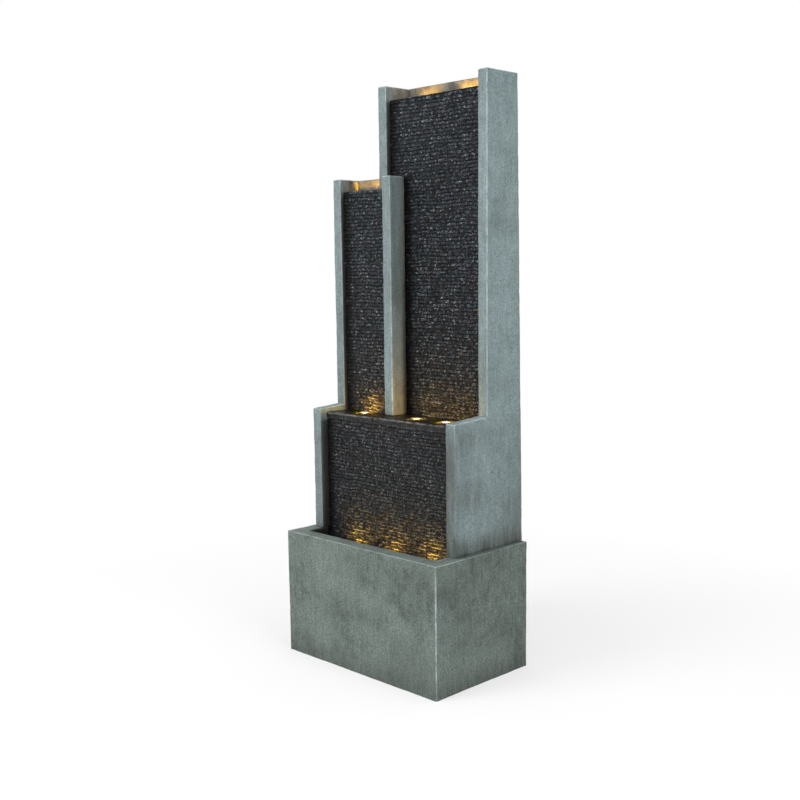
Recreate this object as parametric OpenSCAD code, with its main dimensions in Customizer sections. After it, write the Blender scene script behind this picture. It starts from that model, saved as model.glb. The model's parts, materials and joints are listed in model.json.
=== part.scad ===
// Three-tier garden fountain: a cast basin, a stepped cast tower with three
// rippled water panels, and the pump, hoses, troughs and lamps that it holds.
// X is to the right, the front faces -Y, and the ground is Z = 0.

/* [Basin] */
// Width of the basin
basin_w = 676; // [640:1:720]
// Depth of the basin, front to back
basin_d = 409; // [395:1:440]
// Height of the basin's rim above the ground
basin_h = 400; // [370:1:430]
// Width of the rim round the pool
rim_w = 48; // [44:1:54]
// Thickness of the basin's floor
floor_t = 40; // [30:1:50]
// Radius of the basin's upright edges
basin_edge_r = 6; // [3:1:10]
// Radius of the pool's inside corners
pool_corner_r = 18; // [10:1:24]

/* [Tower] */
// Height of the tall tower above the ground
tower_h = 1798; // [1700:1:1900]
// Thickness of the cast walls
wall_t = 36; // [32:1:40]
// Step from the basin's side to the tower's side
side_inset = 21; // [17:1:25]
// How far the tower's back leans forward at its top
back_lean = 30; // [10:1:36]
// Fall of the tall tower's top from its back to its front
tall_top_fall = 2; // [0:1:12]
// Depth of the tall tower at its foot
tall_d = 165; // [157:1:171]

/* [Short tower] */
// Step from the tall tower's top down to the short tower's top
tower_step = 273; // [200:1:400]
// Clear width between the short tower's left wall and the tall tower
short_clear = 144; // [130:1:158]
// Distance from the basin's back to the short tower's front
short_reach = 201; // [197:1:207]
// Depth of the short tower
short_d = 115; // [110:1:122]
// Clear width of the short bay between its walls
short_bay_w = 208; // [200:1:216]
// Step from the short tower's top down to the divider's top
divider_step = 5; // [0:1:120]
// Distance from the basin's back to the divider's front
divider_reach = 214; // [204:1:229]

/* [Cabinet] */
// Height of the cabinet walls' front tops above the basin's rim
cabinet_rise = 394; // [370:1:430]
// Rise of the cabinet walls' tops towards the back, in degrees
cabinet_slope = 4.3; // [0:0.1:6]
// Distance from the basin's back to the cabinet walls' fronts
cabinet_d = 306; // [297:1:314]
// Step down from the cabinet walls' front tops to the ledge
ledge_drop = 11; // [6:1:18]
// Thickness of the ledge slab
slab_t = 20; // [16:1:26]
// Radius of the ledge slab's rounded lip
lip_r = 9; // [5:1:12]
// Thickness of the cast deck under the slab
deck_t = 30; // [24:1:36]

/* [Panels] */
// Thickness of a panel from its back to the ripples' crests
panel_t = 24; // [20:1:28]
// Average height of one ripple course
course_h = 10; // [8:0.5:14]
// Depth of the ripple courses
course_d = 4; // [2:0.5:6]
// Setback of the lower panel behind the cabinet walls' fronts
lower_recess = 27; // [22:1:32]
// Setback of the tall panel behind the tall tower's front
tall_recess = 15; // [12:1:20]
// Step down from the short tower's top to its panel's top
short_drop = 41; // [28:1:44]
// Step down from the tall tower's top to its panel's top
tall_drop = 45; // [30:1:48]
// Depth of the lower panel's foot below the basin's rim
foot_dip = 38; // [28:1:46]
// Joint between a panel's edge and the wall beside it
joint_gap = 1; // [0.5:0.1:2]

/* [Troughs] */
// Depth of a trough below its panel's top
trough_d = 60; // [50:1:80]
// Wall of a trough
trough_wall = 3; // [2:0.5:4]
// Reach of a trough's lip over its panel's top
trough_lip = 16; // [8:1:18]
// Space between a trough and the walls round it
trough_gap = 1.5; // [1:0.5:3]

/* [Lamps] */
// Radius of a ledge lamp's body
ledge_lamp_r = 18; // [15:0.5:21]
// Width of a ledge lamp's bezel flange
bezel_w = 3; // [2:0.5:5]
// Distance from the short panel's face to the ledge lamps' middles
ledge_lamp_out = 30; // [26:1:36]
// Half the distance between the two lamps in the tall bay
ledge_lamp_half = 63; // [61:1:80]
// Shift of the ledge lamps to the right of their bays' middles
ledge_lamp_shift = 16; // [0:1:17]
// Radius of a basin lamp's body
basin_lamp_r = 19; // [16:0.5:22]
// Distance between the basin lamps
basin_lamp_pitch = 162; // [140:1:170]
// Place of the middle basin lamp, to the right of the basin's middle
basin_lamp_x = 28; // [0:1:30]
// Tilt of the basin lamps towards the panel
basin_lamp_tilt = 24; // [10:1:35]
// Depth of the basin lamps' pivots below the rim
basin_lamp_dip = 62; // [55:1:90]
// Radius of a trough lamp's body
trough_lamp_r = 13; // [10:0.5:16]
// Radius of a lamp's lead
lead_r = 2.2; // [1.5:0.1:3]

/* [Pump] */
// Half the width of the pump's motor housing
pump_half = 34; // [31:1:38]
// Length of the pump's motor housing
pump_len = 78; // [70:1:90]
// Radius of the rotor's magnet
magnet_r = 11.5; // [10:0.5:13]
// Radius of the impeller
impeller_r = 17; // [15:0.5:19]
// Number of impeller blades
blade_count = 6; // [5:1:8]
// Radius of the rotor's shaft
shaft_r = 1.5; // [1.2:0.1:2]
// Slots on each side of the strainer
slot_count = 7; // [5:1:9]
// Width of a strainer slot
slot_w = 2.6; // [2:0.1:3]

/* [Plumbing] */
// Outer radius of the hoses
hose_r = 10; // [9:0.5:11]
// Wall of the hoses
hose_wall = 2; // [1.5:0.1:2.5]
// Bend radius of the hoses
hose_bend = 80; // [70:1:85]
// Height of the branch tee above the basin's rim
tee_rise = 140; // [110:1:160]
// Radius of the tee's turning plug
plug_r = 9; // [8:0.5:10]

/* [Back] */
// Width of the opening behind the access door
door_w = 260; // [220:1:300]
// Height of the opening behind the access door
door_h = 240; // [200:1:260]
// Height of the opening's foot above the basin's rim
door_rise = 50; // [40:1:60]
// Width of the door's rebate round the opening
door_lap = 14; // [12:1:20]
// Thickness of the door
door_t = 8; // [6:1:10]
// Radius of the thumb screws' shanks
screw_r = 3; // [2.5:0.5:4]
// Radius of the drain's bore in the basin
drain_r = 14; // [12:1:18]
// Width of the notch for the mains lead's grommet
notch_w = 28; // [24:1:34]
// Height of the notch above the basin's rim
notch_h = 34; // [28:1:38]
// Radius of the grommet's bore for the mains lead
cable_bore_r = 5; // [4:0.5:6]

/* [Hidden] */

// Fineness of round faces
$fn = 48;
// Overrun of a cut past the face that it opens
cut = 1;
// Space left between pieces that seat on each other
seat = 0.3;
// Radial clearance of a piece that turns or slides in a bore
running = 0.05;

// Planes of the basin and the tower
front_y = -basin_d / 2;
back_y = basin_d / 2;
tower_x = basin_w / 2 - side_inset;
inner_x = tower_x - wall_t;
pool_x = basin_w / 2 - rim_w;
cabinet_y = back_y - cabinet_d;
short_y = back_y - short_reach;
divider_y = back_y - divider_reach;
tall_y = back_y - tall_d;
short_back_out = short_y + short_d;
short_back_in = short_back_out - wall_t;
tall_x = -inner_x + short_clear;
tall_in_x = tall_x + wall_t;
divider_x = -inner_x + short_bay_w;
divider_right = divider_x + wall_t;

// Heights of the towers, the ledge and the panels
short_h = tower_h - tower_step;
divider_h = short_h - divider_step;
cabinet_h = basin_h + cabinet_rise;
slab_z = cabinet_h - ledge_drop;
deck_top = slab_z - slab_t;
deck_foot = deck_top - deck_t;
lower_face = cabinet_y + lower_recess;
lower_back = lower_face + panel_t;
short_face = tall_y - seat - panel_t;
short_panel_back = tall_y - seat;
tall_face = tall_y + tall_recess;
tall_panel_back = tall_face + panel_t;
short_panel_top = short_h - short_drop;
tall_panel_top = tower_h - tall_drop;
lower_foot = basin_h - foot_dip;

// Height of a cabinet wall's top at a given place
function cabinet_top(y) = cabinet_h + (y - cabinet_y) * tan(cabinet_slope);
// Place of the leaning back, and of the back wall's inner face, at a given height
function rear(z) = back_y - back_lean * (z - basin_h) / (tower_h - basin_h);
function rear_in(z) = rear(z) - wall_t;

// Battens behind the panels, and the sill that carries the lower one
batten = 14;
sill_h = 18;
sill_back = lower_back + 28;
sill_top = basin_h + 40;

// Hoses
hose_bore = hose_r - hose_wall;
barb_r = hose_bore - running;
barb_l = 20;
flow_r = barb_r - 2;
tee_arm = 16;
valve_gap = 38;
short_hose_x = (-inner_x + tall_x) / 2;
short_hose_y = (short_panel_back + short_back_in) / 2;
tall_hose_x = (tall_in_x + inner_x) / 2;
tall_hose_y = tall_panel_back + hose_r + 16;
riser_x = (short_hose_x + tall_hose_x + valve_gap) / 2;
riser_y = short_hose_y;
tee_z = basin_h + tee_rise;
hose_hole_r = hose_r + 3;
valve_half = 14;
valve_wall = 3;
stem_r = 4;
stem_end = 26;
lever_l = 42;
lever_t = 6;
clamp_w = 9;
clamp_t = 1.2;

// Troughs
short_tray_foot = short_panel_top - trough_d;
tall_tray_foot = tall_panel_top - trough_d;
tray_rise = 3;
notch_d = 1;
lip_t = 1.5;
inlet_flange = 3;

// Lamps
lamp_flange_t = 1.6;
ledge_lamp_h = 17;
lens_t = 3;
lens_rim = 3;
ledge_lamp_y = short_face - ledge_lamp_out;
short_bay_x = (-inner_x + divider_x) / 2;
tall_bay_x = (divider_right + inner_x) / 2;
ledge_lamp_places = [short_bay_x, tall_bay_x - ledge_lamp_half, tall_bay_x + ledge_lamp_half];
ledge_lamp_xs = [for (x = ledge_lamp_places) x + ledge_lamp_shift];
basin_lamp_xs = [for (i = [-1:1]) basin_lamp_x + i * basin_lamp_pitch];
basin_lamp_h = 22;
basin_lamp_z = basin_h - basin_lamp_dip;
pool_front = front_y + rim_w;
cup_t = 5;
cup_r = 14;
arm_r = 5;
lamp_cavity = 2;
basin_lamp_y = pool_front + cup_t + basin_lamp_r + 7;
trough_lamp_h = 12;
short_lamp_left = 44;
short_lamp_right = 30;
short_lamp_xs = [short_hose_x - short_lamp_left, short_hose_x + short_lamp_right];
tall_lamp_left = 98;
tall_lamp_right = 78;
tall_lamp_xs = [tall_hose_x - tall_lamp_left, tall_hose_x + tall_lamp_right];
tall_lamp_y = tall_hose_y;
lead_bend = 8;
lead_step = 8.5;
ledge_slots = [1, 4, 6];
short_slots = [0, 2];
tall_slots = [3, 5];
lead_sides = 8;
hose_sides = 24;
bend_step = 22.5;
lead_hole_r = lead_r + 4;

// Lamp junction on the cabinet's rear panel
box_w = 92;
box_h = 56;
box_d = 28;
box_inset = 81;
box_rise = 190;
box_x = inner_x - box_inset;
box_z = basin_h + box_rise;
box_y = rear_in(box_z + box_h) - box_d - seat;
box_lead_y = box_y + box_d / 2;
box_hole = 8;
function junction_x(slot) = box_x + (slot - 3) * 12;

// Pump: its own middle is the outlet nozzle's axis at the rotor's height
foot_h = 8;
foot_r = 11;
pump_z = floor_t + foot_h + pump_half;
pump_corner = 12;
cooling_rib_h = 1.5;
cooling_rib_w = 4;
cooling_rib_pitch = 12;
cover_half = 13;
cover_wall = 6;
cover_r = 30;
nozzle_top = pump_z + 66;
nozzle_r = 11;
chamber_r = impeller_r + 2;
blade_curve = 14;
blade_t = 1.6;
blade_tip = 0.5;
disc_x = 8;
disc_t = 2;
hub_r = 6;
hub_front = -4;
magnet_x = cover_half + 4;
can_r = magnet_r + 1;
can_l = 50;
magnet_l = 42;
bush_r = 5;
bush_seat = 1.5;
bush_l = 6.5;
inlet_r = 12;
strainer_front = -50;
strainer_wall = 2;
strainer_corner = 10;
knob_r = 13;
knob_t = 7;
knob_shaft_r = 3;
knob_collar_r = 7;
knob_collar_t = 3;

// Rear door
door_z = basin_h + door_rise;
door_face = rear(door_z + door_h + door_lap) - 1;
gasket_t = 3;
door_seat = door_face - door_t - gasket_t - seat;
door_clear = 1.5;
screw_inset = 8;
screw_head_r = 7;
screw_head_t = 6;
screw_l = 22;
screw_clear = 0.1;
insert_r = screw_r + 2.5;
insert_l = 12;
door_plug = 4;
door_plug_clear = 6;

// Drain and mains lead
drain_inset = 60;
drain_x = -pool_x + drain_inset;
drain_z = floor_t + drain_r + 4;
drain_pocket = 12;
drain_pocket_r = drain_r + 8;
drain_flange = 3;
drain_bush_wall = 3;
drain_face = back_y - drain_pocket + drain_flange;
cable_inset = 56;
cable_x = inner_x - cable_inset;
cable_z = basin_h + notch_h / 2;
grommet_lip = 4;
grommet_flange = 3;
grommet_in = rear_in(basin_h + notch_h + grommet_lip) - seat;
grommet_out = rear(basin_h + notch_h) - seat;

// A box between two corners
module block(x0, x1, y0, y1, z0, z1) {
  translate([x0, y0, z0]) cube([x1 - x0, y1 - y0, z1 - z0]);
}

// A profile drawn as (Y, Z), extruded from x0 to x1
module along_x(x0, x1) {
  translate([x0, 0, 0]) rotate([90, 0, 90]) linear_extrude(x1 - x0) children();
}

// An upright block with rounded edges
module rounded_block(x0, x1, y0, y1, z0, z1, r) {
  translate([0, 0, z0]) linear_extrude(z1 - z0) {
    translate([x0 + r, y0]) square([x1 - x0 - 2 * r, y1 - y0]);
    translate([x0, y0 + r]) square([x1 - x0, y1 - y0 - 2 * r]);
    for (x = [x0 + r, x1 - r], y = [y0 + r, y1 - r]) translate([x, y]) circle(r);
  }
}

// A cylinder lying along X from x0 to x1
module rod_x(x0, x1, y, z, r) {
  translate([x0, y, z]) rotate([0, 90, 0]) cylinder(r = r, h = x1 - x0);
}

// A cylinder lying along Y from y0 to y1
module rod_y(x, y0, y1, z, r) {
  translate([x, y0, z]) rotate([-90, 0, 0]) cylinder(r = r, h = y1 - y0);
}

// An upright cylinder from z0 to z1
module rod_z(x, y, z0, z1, r) {
  translate([x, y, z0]) cylinder(r = r, h = z1 - z0);
}

function unit(v) = v / norm(v);
function turn_at(p, i) = acos(min(1, max(-1, unit(p[i] - p[i - 1]) * unit(p[i + 1] - p[i]))));

// Stations along a route with rounded bends: [centre, direction] pairs
function bend_stations(p, i, bend) =
  let (
    u = unit(p[i] - p[i - 1]),
    v = unit(p[i + 1] - p[i]),
    n = unit(v - u * (u * v)),
    turn = turn_at(p, i),
    from = p[i] - u * bend * tan(turn / 2),
    steps = max(1, ceil(turn / bend_step))
  )
  [for (k = [0 : steps]) let (a = turn * k / steps) [
    from + n * bend * (1 - cos(a)) + u * bend * sin(a),
    u * cos(a) + n * sin(a)
  ]];
function stations(p, bend) = [
  [p[0], unit(p[1] - p[0])],
  if (len(p) > 2) for (i = [1 : len(p) - 2]) each bend_stations(p, i, bend),
  [p[len(p) - 1], unit(p[len(p) - 1] - p[len(p) - 2])]
];

// Directions square to the route, carried along it without twist
function square_to(t, s) = unit(s - t * (s * t));
function sides_along(st, i, s) = i >= len(st) ? [] :
  let (now = square_to(st[i][1], s)) concat([now], sides_along(st, i + 1, now));
function rings(st, sides, r, n) = [for (j = [0 : len(st) - 1], k = [0 : n - 1])
  st[j][0] + r * (cos(k * 360 / n) * sides[j] + sin(k * 360 / n) * cross(st[j][1], sides[j]))];
function skin_faces(count, n, base, outward) = [for (j = [0 : count - 2], k = [0 : n - 1])
  let (
    a = base + j * n + k,
    b = base + j * n + (k + 1) % n,
    c = base + (j + 1) * n + (k + 1) % n,
    d = base + (j + 1) * n + k
  )
  each outward ? [[a, d, c], [a, c, b]] : [[a, c, d], [a, b, c]]];

// A solid lead along a route
module lead(p) {
  st = stations(p, lead_bend);
  n = lead_sides;
  sides = sides_along(st, 0, start_side(st[0][1]));
  last = (len(st) - 1) * n;
  polyhedron(rings(st, sides, lead_r, n), concat(
    skin_faces(len(st), n, 0, true),
    [[for (k = [0 : n - 1]) k]],
    [[for (k = [n - 1 : -1 : 0]) last + k]]
  ));
}

// A hose with its bore along a route
module hose(p) {
  st = stations(p, hose_bend);
  n = hose_sides;
  sides = sides_along(st, 0, start_side(st[0][1]));
  inner = len(st) * n;
  last = (len(st) - 1) * n;
  polyhedron(
    concat(rings(st, sides, hose_r, n), rings(st, sides, hose_bore / cos(180 / n), n)),
    concat(
      skin_faces(len(st), n, 0, true),
      skin_faces(len(st), n, inner, false),
      [for (k = [0 : n - 1]) let (m = (k + 1) % n) each [[k, m, inner + m], [k, inner + m, inner + k]]],
      [for (k = [0 : n - 1]) let (m = (k + 1) % n) each
        [[last + k, last + inner + m, last + m], [last + k, last + inner + k, last + inner + m]]]
    )
  );
}
function start_side(t) = abs(t.z) < 0.9 ? [0, 0, 1] : [1, 0, 0];

module ring(outer, inner) {
  difference() {
    circle(outer);
    circle(inner);
  }
}

// Cast basin with its pool, open at the top
module basin() color([0.43, 0.48, 0.48]) difference() {
  rounded_block(-basin_w / 2, basin_w / 2, front_y, back_y, 0, basin_h, basin_edge_r);
  rounded_block(-pool_x, pool_x, pool_front, back_y - rim_w, floor_t, basin_h + cut, pool_corner_r);
  rod_y(drain_x, back_y - rim_w - pool_corner_r, back_y + cut, drain_z, drain_r);
  rod_y(drain_x, back_y - drain_pocket, back_y + cut, drain_z, drain_pocket_r);
}

// The tower's solid masses: cabinet with a sloping top, short tower, tall tower
module tower_masses() {
  along_x(-tower_x, tower_x) polygon([
    [cabinet_y, basin_h], [back_y + cut, basin_h], [back_y + cut, cabinet_h],
    [short_back_out, cabinet_top(short_back_out)], [cabinet_y, cabinet_h]
  ]);
  block(-tower_x, tall_in_x, short_y, short_back_out, deck_foot, short_h);
  along_x(tall_x, tower_x) polygon([
    [tall_y, deck_foot], [back_y + cut, deck_foot], [back_y + cut, tower_h],
    [rear(tower_h) - cut, tower_h], [tall_y, tower_h - tall_top_fall]
  ]);
}

// Everything behind the leaning back
module behind_the_lean() {
  low = basin_h - deck_t;
  high = tower_h + deck_t;
  along_x(-tower_x - cut, tower_x + cut)
    polygon([[rear(low), low], [back_y + deck_t, low], [back_y + deck_t, high], [rear(high), high]]);
}

// Room inside the cabinet, open to the back, and the bay in front of the lower panel
module cabinet_room() {
  along_x(-inner_x, inner_x) polygon([
    [cabinet_y - cut, basin_h - cut], [back_y + deck_t, basin_h - cut], [back_y + deck_t, deck_foot],
    [lower_back + seat, deck_foot], [lower_back + seat, deck_top + cut], [cabinet_y - cut, deck_top + cut]
  ]);
}

// Bays above the deck: in front of the tall tower's left wall, the short bay and the tall bay
module bays() {
  block(-inner_x, tall_in_x + cut, cabinet_y - cut, tall_y, deck_top, tower_h + cut);
  block(-inner_x, tall_x, tall_y - cut, short_back_in, deck_top, short_h + cut);
  along_x(tall_in_x, inner_x) polygon([
    [cabinet_y - cut, deck_top], [rear_in(deck_top), deck_top],
    [rear_in(tower_h + cut), tower_h + cut], [cabinet_y - cut, tower_h + cut]
  ]);
}

module tower_walls() {
  difference() {
    tower_masses();
    behind_the_lean();
    cabinet_room();
    bays();
  }
  sill();
}

// Beam between the cabinet walls' feet, with a toe under the lower panel
module sill() {
  along_x(-inner_x, inner_x) polygon([
    [lower_face + course_d, lower_foot - sill_h], [sill_back, lower_foot - sill_h],
    [sill_back, sill_top], [lower_back + seat, sill_top],
    [lower_back + seat, lower_foot], [lower_face + course_d, lower_foot]
  ]);
}

// A pair of upright battens on the inner faces at x0 and x1, behind a panel
module batten_pair(x0, x1, panel_back, foot, top) {
  for (x = [x0, x1 - batten])
    block(x, x + batten, panel_back + seat, panel_back + seat + batten, foot, top);
}

// Battens on the walls' inner faces, which the panels and troughs seat on
module panel_battens() color([0.56, 0.61, 0.61]) {
  batten_pair(-inner_x, inner_x, lower_back, sill_top, deck_foot);
  batten_pair(-inner_x, tall_x, short_panel_back, deck_top, short_tray_foot);
  batten_pair(tall_in_x, inner_x, tall_panel_back, deck_top, tall_tray_foot);
}

function screw_places() = [for (x = [-1, 1], z = [0, 1]) [
  x * (door_w / 2 + door_lap - screw_inset),
  z == 0 ? door_z - door_lap + screw_inset : door_z + door_h + door_lap - screw_inset
]];

// Cast rear panel of the cabinet, on the rim between the side walls, with the
// door's opening and rebate and the grommet's notch
module rear_panel() color([0.56, 0.61, 0.61]) difference() {
  top = deck_foot - seat;
  along_x(-inner_x + seat, inner_x - seat)
    polygon([[rear_in(basin_h), basin_h], [rear(basin_h), basin_h], [rear(top), top], [rear_in(top), top]]);
  block(-door_w / 2, door_w / 2, cabinet_y, back_y + cut, door_z, door_z + door_h);
  block(-door_w / 2 - door_lap, door_w / 2 + door_lap, door_seat, back_y + cut,
        door_z - door_lap, door_z + door_h + door_lap);
  for (p = screw_places()) rod_y(p.x, door_seat - insert_l - seat, door_seat + cut, p.y, insert_r);
  block(cable_x - notch_w / 2, cable_x + notch_w / 2, cabinet_y, back_y + cut,
        basin_h - cut, basin_h + notch_h);
}

module deck_openings() {
  rod_z(short_hose_x, short_hose_y, deck_foot - cut, deck_top + cut, hose_hole_r);
  rod_z(tall_hose_x, tall_hose_y, deck_foot - cut, deck_top + cut, hose_hole_r);
  for (x = ledge_lamp_xs) rod_z(x, ledge_lamp_y, deck_foot - cut, deck_top + cut, lead_hole_r);
  for (x = short_lamp_xs) rod_z(x, short_hose_y, deck_foot - cut, deck_top + cut, lead_hole_r);
  for (x = tall_lamp_xs) rod_z(x, tall_lamp_y, deck_foot - cut, deck_top + cut, lead_hole_r);
}

module tower_shell() color([0.56, 0.61, 0.61]) difference() {
  tower_walls();
  deck_openings();
}

// Fin between the bays, with a heel that closes the space to the tall tower
module divider_wall() color([0.56, 0.61, 0.61]) {
  block(divider_x, divider_right, divider_y, tall_face - seat, slab_z, divider_h);
  block(tall_in_x + seat, divider_x, tall_y, tall_face - seat, slab_z, divider_h);
}

// Slab with a rounded lip, notched round the tall tower's left wall
module ledge_slab() color([0.2, 0.2, 0.2]) difference() {
  along_x(-inner_x + joint_gap, inner_x - joint_gap) {
    translate([lower_face + lip_r, deck_top]) square([tall_face - seat - lower_face - lip_r, slab_t]);
    translate([lower_face, deck_top]) square([lip_r, slab_t - lip_r]);
    translate([lower_face + lip_r, slab_z - lip_r]) circle(lip_r);
  }
  block(-inner_x, tall_in_x + joint_gap, tall_y - seat, tall_face, deck_top - cut, slab_z + cut);
  for (x = ledge_lamp_xs) rod_z(x, ledge_lamp_y, deck_top - cut, slab_z + cut, ledge_lamp_r + seat);
}

// Height and depth of one ripple course, which vary along the panel
function course_height(i) = course_h * (1 + 0.16 * sin(i * 97) + 0.08 * sin(i * 211));
function course_depth(i) = course_d * (0.75 + 0.25 * sin(i * 73 + 40));
function course_foot(i) = i == 0 ? 0 : course_foot(i - 1) + course_height(i - 1);

// Profile of a rippled panel: each course bulges out and is undercut at its foot
module ripple_outline(face, back, foot, top) {
  count = ceil((top - foot) / course_h) + 4;
  feet = [for (i = [0 : count]) foot + course_foot(i)];
  polygon(concat(
    [[back, foot], [back, top]],
    [[face + course_d, top]],
    [for (i = [count - 1 : -1 : 0]) if (feet[i + 1] < top) each [
      [face + course_d, feet[i + 1]],
      [face + course_d - course_depth(i), feet[i] + course_height(i) * 0.62],
      [face + course_d - course_depth(i), feet[i] + course_height(i) * 0.3],
    ]],
    [[face + course_d, foot]]
  ));
}

module lower_panel() color([0.17, 0.18, 0.19])
  along_x(-inner_x + joint_gap, inner_x - joint_gap)
    ripple_outline(lower_face, lower_back, lower_foot, deck_top);

module short_panel() color([0.17, 0.18, 0.19])
  along_x(-inner_x + joint_gap, divider_x - joint_gap)
    ripple_outline(short_face, short_panel_back, slab_z, short_panel_top);

module tall_panel() color([0.17, 0.18, 0.19])
  along_x(tall_in_x + joint_gap, inner_x - joint_gap)
    ripple_outline(tall_face, tall_panel_back, deck_top, tall_panel_top);

// Tray behind a panel's top, with a lip over the panel that the water spills from
module tray(x0, x1, y0, y1, foot, top, lip_y) {
  difference() {
    block(x0, x1, y0, y1, foot, top + tray_rise);
    block(x0 + trough_wall, x1 - trough_wall, y0 + trough_wall, y1 - trough_wall,
          foot + trough_wall, top + tray_rise + cut);
    block(x0 + trough_wall, x1 - trough_wall, y0 - cut, y0 + trough_wall + cut,
          top + tray_rise - notch_d, top + tray_rise + cut);
  }
  block(x0, x1, lip_y, y0 + trough_wall, top + seat, top + seat + lip_t);
}

module short_trough() color([0.12, 0.12, 0.13]) difference() {
  tray(-inner_x + trough_gap, tall_x - trough_gap, short_panel_back + seat, short_back_in - trough_gap,
       short_tray_foot, short_panel_top, short_panel_back - trough_lip);
  rod_z(short_hose_x, short_hose_y, short_tray_foot - cut, short_tray_foot + trough_wall + cut,
        hose_bore + running);
  for (x = short_lamp_xs)
    rod_z(x, short_hose_y, short_tray_foot - cut, short_tray_foot + trough_wall + cut, lead_r + running);
}

module tall_trough() color([0.12, 0.12, 0.13]) difference() {
  tray(tall_in_x + trough_gap, inner_x - trough_gap, tall_panel_back + seat, rear_in(tower_h) - trough_gap,
       tall_tray_foot, tall_panel_top, tall_panel_back - trough_lip);
  rod_z(tall_hose_x, tall_hose_y, tall_tray_foot - cut, tall_tray_foot + trough_wall + cut,
        hose_bore + running);
  for (x = tall_lamp_xs)
    rod_z(x, tall_lamp_y, tall_tray_foot - cut, tall_tray_foot + trough_wall + cut, lead_r + running);
}

// Inlet fitting: a flange on the trough's floor and a barb below it for the hose
module inlet(x, y, foot) {
  difference() {
    union() {
      rod_z(x, y, foot + trough_wall, foot + trough_wall + inlet_flange, hose_r + inlet_flange);
      rod_z(x, y, foot - barb_l, foot + trough_wall + cut, barb_r);
    }
    rod_z(x, y, foot - barb_l - cut, foot + trough_wall + inlet_flange + cut, flow_r);
  }
}

module short_inlet() color([0.1, 0.1, 0.1]) inlet(short_hose_x, short_hose_y, short_tray_foot);
module tall_inlet() color([0.1, 0.1, 0.1]) inlet(tall_hose_x, tall_hose_y, tall_tray_foot);

// Lamp body, its lens and its bezel, with the face at height 0
module lamp_body(r, h) {
  difference() {
    translate([0, 0, -h]) cylinder(r = r, h = h);
    translate([0, 0, -lens_t - lamp_cavity]) cylinder(r = r - lens_rim, h = h);
    translate([0, 0, -h - cut]) cylinder(r = lead_r + running, h = h);
  }
}

module lamp_lens(r) {
  translate([0, 0, -lens_t]) cylinder(r = r - lens_rim - running, h = lens_t - 0.5);
}

module at_ledge_lamp(i) {
  translate([ledge_lamp_xs[i], ledge_lamp_y, slab_z]) children();
}

module ledge_lamp_housing(i) color([0.1, 0.1, 0.1]) at_ledge_lamp(i) lamp_body(ledge_lamp_r, ledge_lamp_h);
module ledge_lamp_lens(i) color([1, 0.85, 0.45]) at_ledge_lamp(i) lamp_lens(ledge_lamp_r);

module ledge_lamp_bezels() color([0.8, 0.8, 0.8])
  for (i = [0:2]) at_ledge_lamp(i)
    linear_extrude(lamp_flange_t) ring(ledge_lamp_r + bezel_w, ledge_lamp_r - lens_rim);

// Basin lamp: tilted to the panel, with an arm to a suction cup on the front wall
module at_basin_lamp(i) {
  translate([basin_lamp_xs[i], basin_lamp_y, basin_lamp_z]) rotate([-basin_lamp_tilt, 0, 0]) children();
}

module basin_lamp_housing(i) color([0.1, 0.1, 0.1]) difference() {
  union() {
    at_basin_lamp(i) translate([0, 0, -basin_lamp_h]) cylinder(r = basin_lamp_r, h = basin_lamp_h);
    rod_y(basin_lamp_xs[i], pool_front + cup_t, basin_lamp_y, basin_lamp_z - basin_lamp_h / 2, arm_r);
  }
  at_basin_lamp(i) translate([0, 0, -lens_t - lamp_cavity])
    cylinder(r = basin_lamp_r - lens_rim, h = lens_t + lamp_cavity + cut);
  at_basin_lamp(i) translate([0, 0, -basin_lamp_h - cut]) cylinder(r = lead_r + running, h = basin_lamp_h);
}

module basin_lamp_lens(i) color([1, 0.85, 0.45]) at_basin_lamp(i) lamp_lens(basin_lamp_r);

module basin_lamp_suction_cups() color([0.25, 0.25, 0.25])
  for (i = [0:2]) translate([basin_lamp_xs[i], pool_front, basin_lamp_z - basin_lamp_h / 2])
    rotate([-90, 0, 0]) rotate_extrude()
      polygon([[0, 1.5], [cup_r - 4, 1.5], [cup_r, 0], [cup_r, 1], [7, cup_t], [0, cup_t]]);

module trough_lamp_at(x, y, foot) {
  translate([x, y, foot + trough_wall + trough_lamp_h]) children();
}

module short_trough_lamp_housings() color([0.1, 0.1, 0.1])
  for (x = short_lamp_xs)
    trough_lamp_at(x, short_hose_y, short_tray_foot) lamp_body(trough_lamp_r, trough_lamp_h);
module short_trough_lamp_lenses() color([1, 0.85, 0.45])
  for (x = short_lamp_xs) trough_lamp_at(x, short_hose_y, short_tray_foot) lamp_lens(trough_lamp_r);
module tall_trough_lamp_housings() color([0.1, 0.1, 0.1])
  for (x = tall_lamp_xs)
    trough_lamp_at(x, tall_lamp_y, tall_tray_foot) lamp_body(trough_lamp_r, trough_lamp_h);
module tall_trough_lamp_lenses() color([1, 0.85, 0.45])
  for (x = tall_lamp_xs) trough_lamp_at(x, tall_lamp_y, tall_tray_foot) lamp_lens(trough_lamp_r);

// Junction that the lamps' leads run into, on the rear panel
module lamp_junction() color([0.15, 0.15, 0.16]) difference() {
  union() {
    rounded_block(box_x - box_w / 2, box_x + box_w / 2, box_y, box_y + box_d - 2, box_z, box_z + box_h, 5);
    block(box_x - box_w / 2 + 6, box_x + box_w / 2 - 6, box_y + box_d - 3, box_y + box_d,
          box_z + 4, box_z + box_h);
  }
  for (i = [0:6])
    rod_z(junction_x(i), box_lead_y, box_z + box_h - box_hole, box_z + box_h + cut, lead_r + running);
  for (i = [0:2]) rod_z(junction_x(i * 2 + 1), box_lead_y, box_z - cut, box_z + box_hole, lead_r + running);
}

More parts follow.
